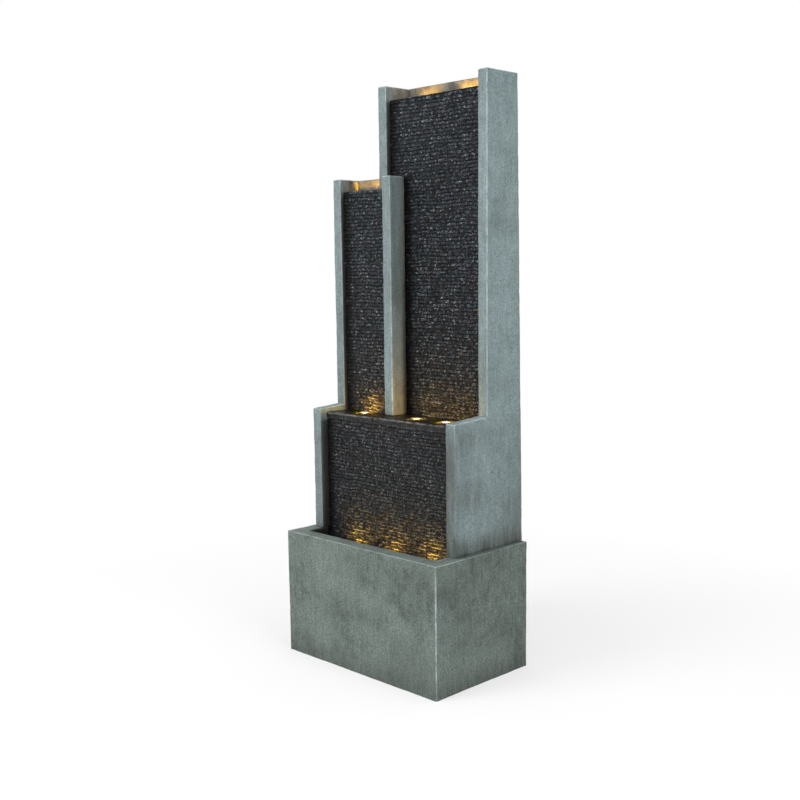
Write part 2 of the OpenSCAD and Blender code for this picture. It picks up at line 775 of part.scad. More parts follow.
// Leads of the lamps: down or back to the junction's plane, across, and into it.
// A lead that comes from above runs higher the further right its slot is.
module lead_from_above(x, y, z, slot) {
  level = box_z + box_h + 22 + slot * lead_step;
  lead([
    [x, y, z],
    [x, y, level],
    [x, box_lead_y, level],
    [junction_x(slot), box_lead_y, level],
    [junction_x(slot), box_lead_y, box_z + box_h - box_hole + 2]
  ]);
}

module ledge_lamp_leads() color([0.08, 0.08, 0.08])
  for (i = [0:2])
    lead_from_above(ledge_lamp_xs[i], ledge_lamp_y, slab_z - ledge_lamp_h + 4, ledge_slots[i]);

module trough_lamp_leads() color([0.08, 0.08, 0.08])
  for (i = [0:1]) {
    lead_from_above(short_lamp_xs[i], short_hose_y, short_tray_foot + trough_wall + 4, short_slots[i]);
    lead_from_above(tall_lamp_xs[i], tall_lamp_y, tall_tray_foot + trough_wall + 4, tall_slots[i]);
  }

module basin_lamp_leads() color([0.08, 0.08, 0.08])
  for (i = [0:2]) {
    level = basin_lamp_z - 30 - i * lead_step;
    lead([
      lamp_tail(i, basin_lamp_h - 4),
      lamp_tail(i, basin_lamp_h + 12 + i * lead_step),
      [basin_lamp_xs[i], basin_lamp_y + 30, level],
      [basin_lamp_xs[i], box_lead_y, level],
      [junction_x(i * 2 + 1), box_lead_y, level],
      [junction_x(i * 2 + 1), box_lead_y, box_z + box_hole - 2]
    ]);
  }

// A point on a basin lamp's axis, a distance below its face
function lamp_tail(i, down) = [
  basin_lamp_xs[i],
  basin_lamp_y - down * sin(basin_lamp_tilt),
  basin_lamp_z - down * cos(basin_lamp_tilt)
];

// Pump, drawn round its outlet's axis and placed as a whole
module at_pump() {
  translate([riser_x, riser_y, pump_z]) children();
}

module pump_block(x0, x1, half, r) {
  rotate([0, 90, 0]) rounded_block(-half, half, -half, half, x0, x1, r);
}

module pump_housing() color([0.13, 0.14, 0.15]) at_pump() difference() {
  union() {
    pump_block(cover_half, cover_half + pump_len, pump_half, pump_corner);
    for (x = [cover_half + 14 : cooling_rib_pitch : cover_half + pump_len - 14])
      pump_block(x, x + cooling_rib_w, pump_half + cooling_rib_h, pump_corner);
  }
  rod_x(cover_half - cut, cover_half + can_l, 0, 0, can_r);
  rod_x(cover_half + can_l - cut, cover_half + can_l + bush_r, 0, 0, bush_r + running);
}

// Cover of the impeller's chamber, with the inlet and the outlet nozzle
module pump_cover() color([0.13, 0.14, 0.15]) at_pump() difference() {
  union() {
    rod_x(-cover_half, cover_half - seat, 0, 0, cover_r);
    pump_block(cover_half - cover_wall, cover_half - seat, pump_half - strainer_wall - seat,
               strainer_corner - strainer_wall);
    rod_z(0, 0, 0, nozzle_top - pump_z - barb_l, nozzle_r);
    rod_z(0, 0, 0, nozzle_top - pump_z, barb_r);
  }
  rod_x(-cover_half + cover_wall, cover_half + cut, 0, 0, chamber_r);
  inlet_ring();
  rod_z(0, 0, 0, nozzle_top - pump_z + cut, flow_r);
}

// Inlet round the front bush, which three arms carry
module inlet_ring() {
  arm_w = 3;
  hole_end = -cover_half + cover_wall + cut;
  difference() {
    rod_x(-cover_half - cut, hole_end, 0, 0, inlet_r);
    rod_x(-cover_half - 2 * cut, hole_end + cut, 0, 0, bush_r + 2);
    for (a = [0, 120, 240]) rotate([a, 0, 0])
      block(-cover_half - 2 * cut, hole_end + cut, -arm_w / 2, arm_w / 2, 0, inlet_r + 2);
  }
  rod_x(-cover_half + 1, hole_end, 0, 0, bush_r + running);
}

// Magnet rotor with its curved blades
module pump_rotor() color([0.3, 0.3, 0.32]) at_pump() difference() {
  union() {
    rod_x(magnet_x, magnet_x + magnet_l, 0, 0, magnet_r);
    rod_x(hub_front, magnet_x + cut, 0, 0, hub_r);
    rod_x(disc_x, disc_x + disc_t, 0, 0, impeller_r);
    for (i = [0 : blade_count - 1]) rotate([i * 360 / blade_count, 0, 0])
      translate([hub_front, 0, 0]) rotate([90, 0, 90])
        linear_extrude(disc_x - hub_front + disc_t / 2) blade_outline();
  }
  rod_x(hub_front - cut, magnet_x + magnet_l + cut, 0, 0, shaft_r + running);
}

module blade_outline() {
  intersection() {
    translate([blade_curve, 0]) ring(blade_curve + blade_t / 2, blade_curve - blade_t / 2);
    ring(impeller_r - blade_tip, hub_r - cut);
    translate([-impeller_r, 0]) square([2 * impeller_r, impeller_r]);
  }
}

module pump_shaft() color([0.9, 0.9, 0.88]) at_pump()
  rod_x(-cover_half + 2, cover_half + can_l + 4, 0, 0, shaft_r);

module pump_bushes() color([0.05, 0.05, 0.05]) at_pump() {
  bush(-cover_half + bush_seat);
  bush(cover_half + can_l + bush_r - bush_l - seat);
}

module bush(x) {
  translate([x, 0, 0]) rotate([0, 90, 0]) linear_extrude(bush_l) ring(bush_r, shaft_r + running);
}

// Slotted strainer that pulls off the cover
module pump_strainer() color([0.1, 0.1, 0.11]) at_pump() difference() {
  pump_block(strainer_front, cover_half - strainer_wall, pump_half, strainer_corner);
  pump_block(strainer_front + strainer_wall, cover_half, pump_half - strainer_wall,
             strainer_corner - strainer_wall);
  block(-nozzle_r - 1, cover_half, -nozzle_r - 1, nozzle_r + 1, 0, pump_half + cut);
  rod_x(strainer_front - cut, strainer_front + strainer_wall + cut, 0, 0, knob_shaft_r + running);
  strainer_slots();
}

module strainer_slots() {
  span = 2 * (pump_half - pump_corner);
  slot_l = 24;
  reach = 4 * strainer_wall;
  for (i = [0 : slot_count - 1]) {
    s = (i - (slot_count - 1) / 2) * span / (slot_count - 1);
    for (side = [-1, 1])
      translate([(strainer_front - cover_half) / 2, side * pump_half, s])
        cube([slot_l, reach, slot_w], center = true);
    if (abs(s) > knob_r + slot_w) translate([strainer_front, s, 0]) cube([reach, slot_w, span], center = true);
  }
}

// Knob that turns the inlet's shutter, held by a collar inside the strainer
module pump_flow_knob() color([0.2, 0.45, 0.65]) at_pump() {
  collar_x = strainer_front + strainer_wall + seat;
  fin_h = 4;
  rod_x(strainer_front - knob_t, strainer_front - seat, 0, 0, knob_r);
  rod_x(strainer_front - seat - cut, collar_x + cut, 0, 0, knob_shaft_r);
  rod_x(collar_x, collar_x + knob_collar_t, 0, 0, knob_collar_r);
  block(strainer_front - knob_t - fin_h, strainer_front - knob_t + cut, -2, 2, -knob_r + 2, knob_r - 2);
}

module pump_suction_feet() color([0.25, 0.25, 0.25])
  for (x = [cover_half + 8, cover_half + pump_len - 7], y = [-1, 1])
    translate([riser_x + x, riser_y + y * (pump_half - 14), floor_t]) rotate_extrude()
      polygon([[0, 2], [foot_r - 4, 2], [foot_r, 0], [foot_r, 1], [5, 4],
               [4, foot_h - seat], [0, foot_h - seat]]);

module riser_hose() color([0.16, 0.16, 0.17])
  translate([riser_x, riser_y, nozzle_top - barb_l + seat])
    linear_extrude(tee_z - tee_arm - nozzle_top + barb_l - seat) ring(hose_r, hose_bore);

module short_hose() color([0.16, 0.16, 0.17]) hose([
  [riser_x - valve_gap - tee_arm, riser_y, tee_z],
  [short_hose_x, short_hose_y, tee_z],
  [short_hose_x, short_hose_y, short_tray_foot - seat]
]);

module tall_hose() color([0.16, 0.16, 0.17]) hose([
  [riser_x + tee_arm, riser_y, tee_z],
  [tall_hose_x, riser_y, tee_z],
  [tall_hose_x, tall_hose_y, deck_foot - 20],
  [tall_hose_x, tall_hose_y, tall_tray_foot - seat]
]);

// Branch tee with barbs for three hoses and a seat for the turning plug
module hose_tee() color([0.12, 0.12, 0.13]) translate([riser_x, riser_y, tee_z]) difference() {
  collar = tee_arm - seat;
  union() {
    rod_x(-valve_gap - tee_arm - barb_l, tee_arm + barb_l, 0, 0, barb_r);
    rod_x(-valve_gap - collar, collar, 0, 0, hose_r);
    rod_z(0, 0, -tee_arm - barb_l, 0, barb_r);
    rod_z(0, 0, -collar, 0, hose_r);
    rod_y(-valve_gap, -valve_half, valve_half, 0, plug_r + valve_wall);
  }
  rod_x(-valve_gap - tee_arm - barb_l - cut, tee_arm + barb_l + cut, 0, 0, flow_r);
  rod_z(0, 0, -tee_arm - barb_l - cut, 0, flow_r);
  rod_y(-valve_gap, -valve_half + valve_wall, valve_half + cut, 0, plug_r + running);
}

module at_valve() {
  translate([riser_x - valve_gap, riser_y, tee_z]) children();
}

module tee_plug() color([0.75, 0.75, 0.75]) at_valve() difference() {
  union() {
    rod_y(0, -valve_half + valve_wall + seat, valve_half - seat, 0, plug_r);
    rod_y(0, valve_half - cut, stem_end, 0, stem_r);
  }
  rod_x(-plug_r - cut, plug_r + cut, 0, 0, flow_r);
}

// Lever on the plug's stem, in line with the branch when it is open
module tee_lever() color([0.7, 0.1, 0.08]) at_valve()
  rotate([-90, 0, 0]) translate([0, 0, valve_half + 3]) linear_extrude(lever_t) difference() {
    union() {
      circle(2 * stem_r);
      translate([-lever_l, -stem_r]) square([lever_l, 2 * stem_r]);
      translate([-lever_l, 0]) circle(stem_r);
    }
    circle(stem_r + running);
  }

// Band clamps on the hose ends
module clamp() {
  linear_extrude(clamp_w) difference() {
    union() {
      circle(hose_r + clamp_t);
      translate([hose_r, -3]) square([7, 6]);
    }
    circle(hose_r + running);
  }
}

module hose_clamps() color([0.75, 0.76, 0.78]) {
  inset = 5;
  translate([riser_x, riser_y, nozzle_top - clamp_w - inset]) clamp();
  translate([riser_x, riser_y, tee_z - tee_arm - clamp_w - inset]) clamp();
  translate([riser_x - valve_gap - tee_arm - inset, riser_y, tee_z]) rotate([0, -90, 0]) clamp();
  translate([riser_x + tee_arm + inset, riser_y, tee_z]) rotate([0, 90, 0]) clamp();
  translate([short_hose_x, short_hose_y, short_tray_foot - clamp_w - inset]) clamp();
  translate([tall_hose_x, tall_hose_y, tall_tray_foot - clamp_w - inset]) clamp();
}

// Rear door, its gasket, its captive thumb screws and their inserts
module door_outline(shrink) {
  translate([-door_w / 2 - door_lap + shrink, door_z - door_lap + shrink])
    square([door_w + 2 * (door_lap - shrink), door_h + 2 * (door_lap - shrink)]);
}

module upright(y0, y1) {
  translate([0, y1, 0]) rotate([90, 0, 0]) linear_extrude(y1 - y0) children();
}

module access_door() color([0.5, 0.54, 0.54]) difference() {
  union() {
    upright(door_face - door_t, door_face) door_outline(door_clear);
    upright(door_face - door_t - door_plug, door_face - door_t + cut) door_outline(door_lap + door_plug_clear);
  }
  for (p = screw_places()) rod_y(p.x, door_face - door_t - cut, door_face + cut, p.y, screw_r + screw_clear);
}

module door_gasket() color([0.06, 0.06, 0.06]) difference() {
  upright(door_face - door_t - gasket_t, door_face - door_t) difference() {
    door_outline(door_clear);
    door_outline(door_lap + 2);
  }
  for (p = screw_places())
    rod_y(p.x, door_face - door_t - gasket_t - cut, door_face, p.y, screw_r + screw_clear);
}

module door_screws() color([0.8, 0.8, 0.82])
  for (p = screw_places()) {
    rod_y(p.x, door_face - screw_l, door_face + cut, p.y, screw_r);
    rod_y(p.x, door_face + seat, door_face + seat + screw_head_t, p.y, screw_head_r);
  }

module door_inserts() color([0.75, 0.6, 0.3])
  for (p = screw_places()) translate([p.x, door_seat, p.y]) rotate([90, 0, 0])
    linear_extrude(insert_l) ring(insert_r - running, screw_r + running);

// Grommet in the rear panel's notch, flanged inside, that the mains lead leaves through
module cable_grommet() color([0.07, 0.07, 0.07]) difference() {
  half = notch_w / 2 - running;
  foot = basin_h + seat;
  union() {
    block(cable_x - half, cable_x + half, grommet_in - cut, grommet_out, foot, basin_h + notch_h - running);
    block(cable_x - half - grommet_lip, cable_x + half + grommet_lip, grommet_in - grommet_flange, grommet_in,
          foot, basin_h + notch_h + grommet_lip);
  }
  rod_y(cable_x, grommet_in - grommet_flange - cut, back_y + cut, cable_z, cable_bore_r);
}

module drain_bush() color([0.1, 0.1, 0.1]) difference() {
  union() {
    rod_y(drain_x, back_y - rim_w, drain_face, drain_z, drain_r - running);
    rod_y(drain_x, back_y - drain_pocket, drain_face, drain_z, drain_r + 5);
  }
  rod_y(drain_x, back_y - rim_w - cut, back_y, drain_z, drain_r - drain_bush_wall);
}

// Plug with a grip bar across its head, inside the pocket in the basin's back
module drain_plug() color([0.55, 0.1, 0.08]) {
  head_t = 4;
  grip = 9;
  rod_y(drain_x, back_y - rim_w + head_t, drain_face + cut, drain_z, drain_r - drain_bush_wall - running);
  rod_y(drain_x, drain_face + seat, drain_face + head_t, drain_z, drain_r + 3);
  block(drain_x - grip, drain_x + grip, drain_face + head_t - cut, back_y - 1, drain_z - 2, drain_z + 2);
}

basin();
tower_shell();
rear_panel();
divider_wall();
ledge_slab();
lower_panel();
short_panel();
tall_panel();
panel_battens();
short_trough();
tall_trough();
ledge_lamp_housing(0);  // ledge_lamp_1_housing
ledge_lamp_housing(1);  // ledge_lamp_2_housing
ledge_lamp_housing(2);  // ledge_lamp_3_housing
ledge_lamp_lens(0);  // ledge_lamp_1_lens
ledge_lamp_lens(1);  // ledge_lamp_2_lens
ledge_lamp_lens(2);  // ledge_lamp_3_lens
ledge_lamp_bezels();
basin_lamp_housing(0);  // basin_lamp_1_housing
basin_lamp_housing(1);  // basin_lamp_2_housing
basin_lamp_housing(2);  // basin_lamp_3_housing
basin_lamp_lens(0);  // basin_lamp_1_lens
basin_lamp_lens(1);  // basin_lamp_2_lens
basin_lamp_lens(2);  // basin_lamp_3_lens
basin_lamp_suction_cups();
short_trough_lamp_housings();
short_trough_lamp_lenses();
tall_trough_lamp_housings();
tall_trough_lamp_lenses();
lamp_junction();
ledge_lamp_leads();
basin_lamp_leads();
trough_lamp_leads();
pump_housing();
pump_cover();
pump_rotor();
pump_shaft();
pump_bushes();
pump_strainer();
pump_flow_knob();
pump_suction_feet();
riser_hose();
short_hose();
tall_hose();
hose_tee();
tee_plug();
tee_lever();
short_inlet();
tall_inlet();
hose_clamps();
access_door();
door_gasket();
door_screws();
door_inserts();
cable_grommet();
drain_bush();
drain_plug();
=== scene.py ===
"""Looks of a three-tier garden fountain: cast cement, rippled wet slate, lamps and fittings."""
import json
import math
import bmesh
import bpy
from mathutils import Matrix, Vector, noise


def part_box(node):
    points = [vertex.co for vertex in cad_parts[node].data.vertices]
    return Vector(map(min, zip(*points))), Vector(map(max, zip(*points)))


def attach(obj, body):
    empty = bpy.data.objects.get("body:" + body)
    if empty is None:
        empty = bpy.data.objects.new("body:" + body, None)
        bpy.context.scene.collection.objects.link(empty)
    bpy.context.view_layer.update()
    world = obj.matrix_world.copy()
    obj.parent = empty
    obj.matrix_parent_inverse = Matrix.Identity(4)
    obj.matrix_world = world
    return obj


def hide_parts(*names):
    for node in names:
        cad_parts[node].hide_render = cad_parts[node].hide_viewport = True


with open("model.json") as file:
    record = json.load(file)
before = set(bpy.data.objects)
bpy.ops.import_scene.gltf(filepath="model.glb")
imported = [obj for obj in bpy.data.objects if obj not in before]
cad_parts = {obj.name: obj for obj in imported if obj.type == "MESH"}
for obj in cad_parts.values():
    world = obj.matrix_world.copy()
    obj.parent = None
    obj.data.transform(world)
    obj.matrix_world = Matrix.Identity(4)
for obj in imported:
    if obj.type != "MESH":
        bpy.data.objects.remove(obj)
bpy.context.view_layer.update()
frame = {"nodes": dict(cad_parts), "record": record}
cad_nodes = frame["nodes"]
MM = 0.001

# Camera: the photograph's view, fitted to the corners of the basin and the towers
PHOTO_PX = 800
FOCAL_PX = 1073.8
MIDDLE_PX = (456.0, 444.7)
CAMERA_AT = Vector((2.406, -2.3135, 1.205))
CAMERA_YAW = math.radians(43.28)
CAMERA_PITCH = math.radians(-8.73)
CAMERA_ROLL = math.radians(-0.26)
SENSOR_MM = 36

# Places that the looks need, read from the frame
BASIN_LOW, BASIN_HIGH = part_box("basin")
SHELL_LOW, SHELL_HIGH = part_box("tower_shell")
LOWER_LOW, LOWER_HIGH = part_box("lower_panel")
DIVIDER_LOW, DIVIDER_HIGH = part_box("divider_wall")
RIM_TOP = BASIN_HIGH.z
LEDGE_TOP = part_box("ledge_slab")[1].z
POOL_INSET = 44 * MM
LAMP_NUMBERS = (1, 2, 3)


def lamp_places(kind):
    """The middles of the three lenses of one kind of lamp."""
    boxes = [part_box(f"{kind}_{i}_lens") for i in LAMP_NUMBERS]
    return [(low + high) / 2 for low, high in boxes]


LEDGE_LAMPS = lamp_places("ledge_lamp")
BASIN_LAMPS = lamp_places("basin_lamp")


def add_object(name, data):
    """A new object of the scene that shows the given data."""
    made = bpy.data.objects.new(name, data)
    bpy.context.scene.collection.objects.link(made)
    return made


def mesh_of(name, bm):
    """A new mesh with the shape of a bmesh, which is freed."""
    mesh = bpy.data.meshes.new(name)
    bm.to_mesh(mesh)
    bm.free()
    return mesh


def add_camera():
    data = bpy.data.cameras.new("camera")
    data.sensor_width = SENSOR_MM
    data.lens = SENSOR_MM * FOCAL_PX / PHOTO_PX
    data.shift_x = (PHOTO_PX / 2 - MIDDLE_PX[0]) / PHOTO_PX
    data.shift_y = (MIDDLE_PX[1] - PHOTO_PX / 2) / PHOTO_PX
    camera = add_object("camera", data)
    ahead = Vector((
        -math.sin(CAMERA_YAW) * math.cos(CAMERA_PITCH),
        math.cos(CAMERA_YAW) * math.cos(CAMERA_PITCH),
        math.sin(CAMERA_PITCH),
    ))
    level = Vector((math.cos(CAMERA_YAW), math.sin(CAMERA_YAW), 0))
    upright = level.cross(ahead)
    right = level * math.cos(CAMERA_ROLL) + upright * math.sin(CAMERA_ROLL)
    up = right.cross(ahead)
    turn = Matrix((right, up, -ahead)).transposed()
    camera.matrix_world = Matrix.Translation(CAMERA_AT) @ turn.to_4x4()
    bpy.context.scene.camera = camera


# Shader building blocks

def node(tree, kind, inputs=None, **settings):
    """A shader node with its settings and its inputs, which are values or sockets."""
    made = tree.nodes.new(kind)
    for key, value in settings.items():
        setattr(made, key, value)
    for key, value in (inputs or {}).items():
        if isinstance(value, bpy.types.NodeSocket):
            tree.links.new(value, made.inputs[key])
        else:
            made.inputs[key].default_value = value
    return made


def place(tree):
    """The place of a point in its piece, in metres."""
    return node(tree, "ShaderNodeTexCoord").outputs["Object"]


def height(tree):
    return node(tree, "ShaderNodeSeparateXYZ", {0: place(tree)}).outputs["Z"]


def attribute(tree, name):
    """A piece's own vertex attribute, as a value of 0 to 1."""
    return node(tree, "ShaderNodeAttribute", attribute_name=name).outputs["Fac"]


def spread(tree, value, low, high, start=0.0, end=1.0):
    """Carries the range from low to high over to the range from start to end."""
    made = node(tree, "ShaderNodeMapRange", {
        "Value": value, "From Min": low, "From Max": high, "To Min": start, "To Max": end,
    }, clamp=True)
    return made.outputs["Result"]


def mottle(tree, scale, detail, low, high, rough=0.55):
    """A noise pattern of 0 to 1: scale is in cycles a metre along each axis."""
    mapping = node(tree, "ShaderNodeMapping", {"Vector": place(tree), "Scale": scale})
    made = node(tree, "ShaderNodeTexNoise", {
        "Vector": mapping.outputs["Vector"], "Scale": 1.0, "Detail": detail, "Roughness": rough,
    })
    return spread(tree, made.outputs["Fac"], low, high)


def mottles(tree, shapes):
    """The noise patterns of a table, by their names."""
    return {name: mottle(tree, *shape) for name, shape in shapes.items()}


def times(tree, first, second):
    return node(tree, "ShaderNodeMath", {0: first, 1: second}, operation="MULTIPLY").outputs[0]


def plus(tree, first, second):
    return node(tree, "ShaderNodeMath", {0: first, 1: second}, operation="ADD").outputs[0]


def weighted_sum(tree, parts):
    """The sum of some patterns, each times its weight."""
    total = None
    for pattern, weight in parts:
        part = times(tree, pattern, weight)
        total = part if total is None else plus(tree, total, part)
    return total


def blend_colours(tree, share, first, second, how="MIX"):
    made = node(tree, "ShaderNodeMix", data_type="RGBA", blend_type=how)
    for index, value in ((0, share), (6, first), (7, second)):
        if isinstance(value, bpy.types.NodeSocket):
            tree.links.new(value, made.inputs[index])
        else:
            made.inputs[index].default_value = value if index == 0 else (*value, 1)
    return made.outputs[2]


def lay_over(tree, colour, layers):
    """Lays colours over one another, each with its pattern and its share."""
    for pattern, share, laid in layers:
        colour = blend_colours(tree, times(tree, pattern, share), colour, laid)
    return colour


def start_material(name, base, roughness, metallic=0.0):
    material = bpy.data.materials.new(name)
    material.use_nodes = True
    tree = material.node_tree
    shader = tree.nodes["Principled BSDF"]
    shader.inputs["Base Color"].default_value = (*base, 1)
    shader.inputs["Roughness"].default_value = roughness
    shader.inputs["Metallic"].default_value = metallic
    return material, tree, shader


def bump(tree, shader, value, depth, strength):
    made = node(tree, "ShaderNodeBump", {"Height": value, "Distance": depth, "Strength": strength})
    tree.links.new(made.outputs["Normal"], shader.inputs["Normal"])


def tint(colour, factor):
    return tuple(min(1.0, c * factor) for c in colour)


def shift_hue(colour, factors):
    return tuple(c * f for c, f in zip(colour, factors))


# Finishes: each pattern has its cycles a metre along x, y and z, its detail, the part of the noise
# that it uses, and its roughness where that isn't the usual one
CEMENT_PATTERNS = {
    "patches": ((4.4, 4.4, 5.2), 4.0, 0.43, 0.58),
    "clouds": ((12, 12, 9.5), 6.0, 0.41, 0.59, 0.62),
    "blotches": ((30, 30, 24), 6.0, 0.41, 0.6, 0.66),
    "streaks": ((95, 95, 6.5), 5.0, 0.38, 0.64, 0.6),
    "brush": ((170, 170, 20), 3.0, 0.4, 0.62),
    "grain": ((190, 190, 160), 4.0, 0.4, 0.6, 0.7),
    "sand": ((330, 330, 330), 2.0, 0.4, 0.62, 0.6),
    "pits": ((150, 150, 150), 3.0, 0.64, 0.7),
    "rubbing_and_highlight": ((30, 30, 30), 4.0, 0.36, 0.56),
    "smear": ((62, 62, 7), 5.0, 0.34, 0.64),
    "rust": ((38, 38, 22), 5.0, 0.3, 0.72),
}
SLATE_PATTERNS = {
    "clouds": ((9, 9, 14), 4.0, 0.35, 0.68),
    "hues": ((20, 20, 26), 3.0, 0.42, 0.58),
    "flecks": ((150, 150, 260), 3.0, 0.575, 0.65, 0.6),
    "dashes": ((75, 75, 210), 5.0, 0.4, 0.6, 0.65),
    "film": ((70, 70, 90), 3.0, 0.35, 0.65),
    "chips": ((95, 95, 300), 5.0, 0.25, 0.75, 0.65),
}
PLASTIC_PATTERNS = {
    "grain": ((1600, 1600, 1600), 2.0, 0.25, 0.75),
    "wear": ((60, 60, 60), 4.0, 0.4, 0.75),
}
METAL_PATTERNS = {
    "lines": ((900, 900, 2600), 2.0, 0.3, 0.7),
    "clouds": ((40, 40, 40), 3.0, 0.35, 0.7),
}
LENS_PATTERN = ((300, 300, 300), 2.0, 0.3, 0.7)
LENS_BODY, LENS_DEEP, LENS_PALE = (1.0, 0.75, 0.3), (1.0, 0.62, 0.16), (1.0, 0.8, 0.42)

# Pale arris colour: partly rubbed wear, partly a painted highlight
CEMENT_RUBBED_AND_HIGHLIT = (0.55, 0.62, 0.65)
# Damp colour, which also serves as painted shade on side faces
CEMENT_DAMP_AND_SHADE_HUE = (0.56, 0.5, 0.43)
# Slime colour, which also serves as painted shade in recesses and in the pool
CEMENT_SLIME_AND_SHADE = (0.014, 0.0145, 0.014)
RUST_DARK, RUST_PALE = (0.07, 0.056, 0.04), (0.3, 0.26, 0.2)
CEMENT_ROUGH, DRY_CEMENT_ROUGH, WET_CEMENT_ROUGH = 0.85, 0.94, 0.3
CEMENT_GLOSS = 1.4

SLATE_HUES = (0.82, 1.0, 1.06), (1.12, 0.97, 1.08)
SLATE_HIGH_HUE = (0.95, 1.12, 1.28)
SLATE_HIGH_FROM, SLATE_HIGH_TO = 0.85, 1.5
# Painted amber lamp light on the undersides of the slate's courses
SLATE_LIT_UNDERSIDE = (0.5, 0.42, 0.16)
SLATE_SHADE_ROUGH = 0.4

FINE_GRAIN = 0.06 * MM
GLAZED_GRAIN = 0.005 * MM


def cement(name, body, pale, dark, cloud, wear_and_highlight_share):
    """Cast cement: clouds, upright brush marks, grain, rubbed arrises with a painted highlight, damp with
    painted shade on side faces, stains, and slime with painted shade in recesses.
    """
    material, tree, shader = start_material(name, body, CEMENT_ROUGH)
    has = mottles(tree, CEMENT_PATTERNS)
    colour = lay_over(tree, body, (
        (has["clouds"], cloud, tint(dark, 0.9)),
        (has["patches"], cloud * 0.75, tint(pale, 0.9)),
        (has["blotches"], 0.5, pale),
        (attribute(tree, "pale"), spread(tree, has["blotches"], 0, 1, 0.45, 1.0), pale),
        (has["streaks"], 0.3, pale),
        (has["brush"], 0.26, tint(dark, 0.9)),
        (has["grain"], 0.5, tint(dark, 0.7)),
        (has["sand"], 0.35, tint(pale, 1.1)),
        (has["pits"], 0.6, tint(dark, 0.35)),
    ))
    # Pale arrises: partly wear, partly a painted highlight along them
    rubbed = times(tree, attribute(tree, "worn_and_highlit"), spread(tree, has["rubbing_and_highlight"], 0, 1, 0.2, 1.0))
    # The damp mask also carries painted shade on side faces
    wet = times(tree, attribute(tree, "damp_and_shade"), spread(tree, has["smear"], 0, 1, 0.45, 1.0))
    # The slime mask also carries painted shade where walls meet panels and in the pool
    slime_and_shade = attribute(tree, "slime_and_shade")
    colour = blend_colours(tree, times(tree, rubbed, wear_and_highlight_share), colour, CEMENT_RUBBED_AND_HIGHLIT)
    colour = blend_colours(tree, wet, colour, shift_hue(dark, CEMENT_DAMP_AND_SHADE_HUE))
    brown = blend_colours(tree, has["rust"], RUST_DARK, RUST_PALE)
    colour = blend_colours(tree, attribute(tree, "stain"), colour, brown)
    colour = blend_colours(tree, slime_and_shade, colour, CEMENT_SLIME_AND_SHADE)
    tree.links.new(colour, shader.inputs["Base Color"])
    gloss = times(tree, plus(tree, times(tree, wet, 0.7), slime_and_shade), -CEMENT_GLOSS)
    dull = plus(tree, has["grain"], gloss)
    rough = spread(tree, dull, -CEMENT_GLOSS, 1.0, WET_CEMENT_ROUGH, DRY_CEMENT_ROUGH)
    tree.links.new(rough, shader.inputs["Roughness"])
    relief = weighted_sum(tree, (
        (has["grain"], 0.6), (has["brush"], 0.35), (has["sand"], 0.25), (has["pits"], -0.9),
    ))
    bump(tree, shader, relief, 0.8 * MM, 0.7)
    return material


def wet_slate(name, body, crest, pale, smooth, specular):
    """Near-black slate under a film of water: grey crests that are partly a painted highlight over painted
    shade in the gaps, rare painted glints, painted lamp light on undersides, and rubbed arrises with a
    painted highlight.
    """
    material, tree, shader = start_material(name, body, smooth)
    shader.inputs["Specular IOR Level"].default_value = specular
    has = mottles(tree, SLATE_PATTERNS)
    first_hue, second_hue = (shift_hue(crest, hue) for hue in SLATE_HUES)
    crests = blend_colours(tree, has["hues"], first_hue, second_hue)
    crests = blend_colours(tree, times(tree, has["clouds"], 0.45), crests, tint(crest, 0.45))
    high_up = spread(tree, height(tree), SLATE_HIGH_FROM, SLATE_HIGH_TO)
    crests = blend_colours(tree, high_up, crests, SLATE_HIGH_HUE, "MULTIPLY")
    shade, edge = attribute(tree, "shade"), attribute(tree, "edge")
    # The grey crests and glints fade out in the painted shade
    lit = spread(tree, shade, 0, 1, 1.0, 0.0)
    broken_edge = times(tree, edge, spread(tree, has["dashes"], 0, 1, 0.25, 1.0))
    # Painted glints: rare pale flecks on the crests stand for highlights
    painted_glints = times(tree, has["flecks"], edge)
    colour = lay_over(tree, body, (
        (broken_edge, lit, crests),
        (painted_glints, spread(tree, lit, 0, 1, 0.35, 0.95), pale),
        (attribute(tree, "under"), 1.0, SLATE_LIT_UNDERSIDE),
        # Pale lines on the ledge's arrises: partly wear, partly a painted highlight
        (attribute(tree, "worn_and_highlit"), times(tree, has["dashes"], 0.5), pale),
    ))
    tree.links.new(colour, shader.inputs["Base Color"])
    rough = spread(tree, has["film"], 0, 1, smooth * 0.5, smooth * 1.5)
    rough = plus(tree, rough, times(tree, shade, SLATE_SHADE_ROUGH))
    tree.links.new(rough, shader.inputs["Roughness"])
    bump(tree, shader, has["chips"], 2.2 * MM, 0.9)
    return material


def moulded(name, body, roughness, grain_depth=FINE_GRAIN):
    """Moulded plastic or rubber with a fine eroded grain and slight wear."""
    material, tree, shader = start_material(name, body, roughness)
    has = mottles(tree, PLASTIC_PATTERNS)
    rubbed = tuple(c * 1.25 + 0.012 for c in body)
    colour = blend_colours(tree, times(tree, has["wear"], 0.5), body, rubbed)
    tree.links.new(colour, shader.inputs["Base Color"])
    rough = spread(tree, has["wear"], 0, 1, roughness * 0.9, min(1, roughness * 1.2))
    tree.links.new(rough, shader.inputs["Roughness"])
    bump(tree, shader, has["grain"], grain_depth, 0.5)
    return material


def metal(name, body, roughness):
    """Turned or drawn metal with fine brush lines."""
    material, tree, shader = start_material(name, body, roughness, 1.0)
    has = mottles(tree, METAL_PATTERNS)
    rough = spread(tree, has["lines"], 0, 1, roughness * 0.75, roughness * 1.3)
    tree.links.new(rough, shader.inputs["Roughness"])
    colour = blend_colours(tree, has["clouds"], tint(body, 0.85), body)
    tree.links.new(colour, shader.inputs["Base Color"])
    bump(tree, shader, has["lines"], 0.03 * MM, 0.4)
    return material


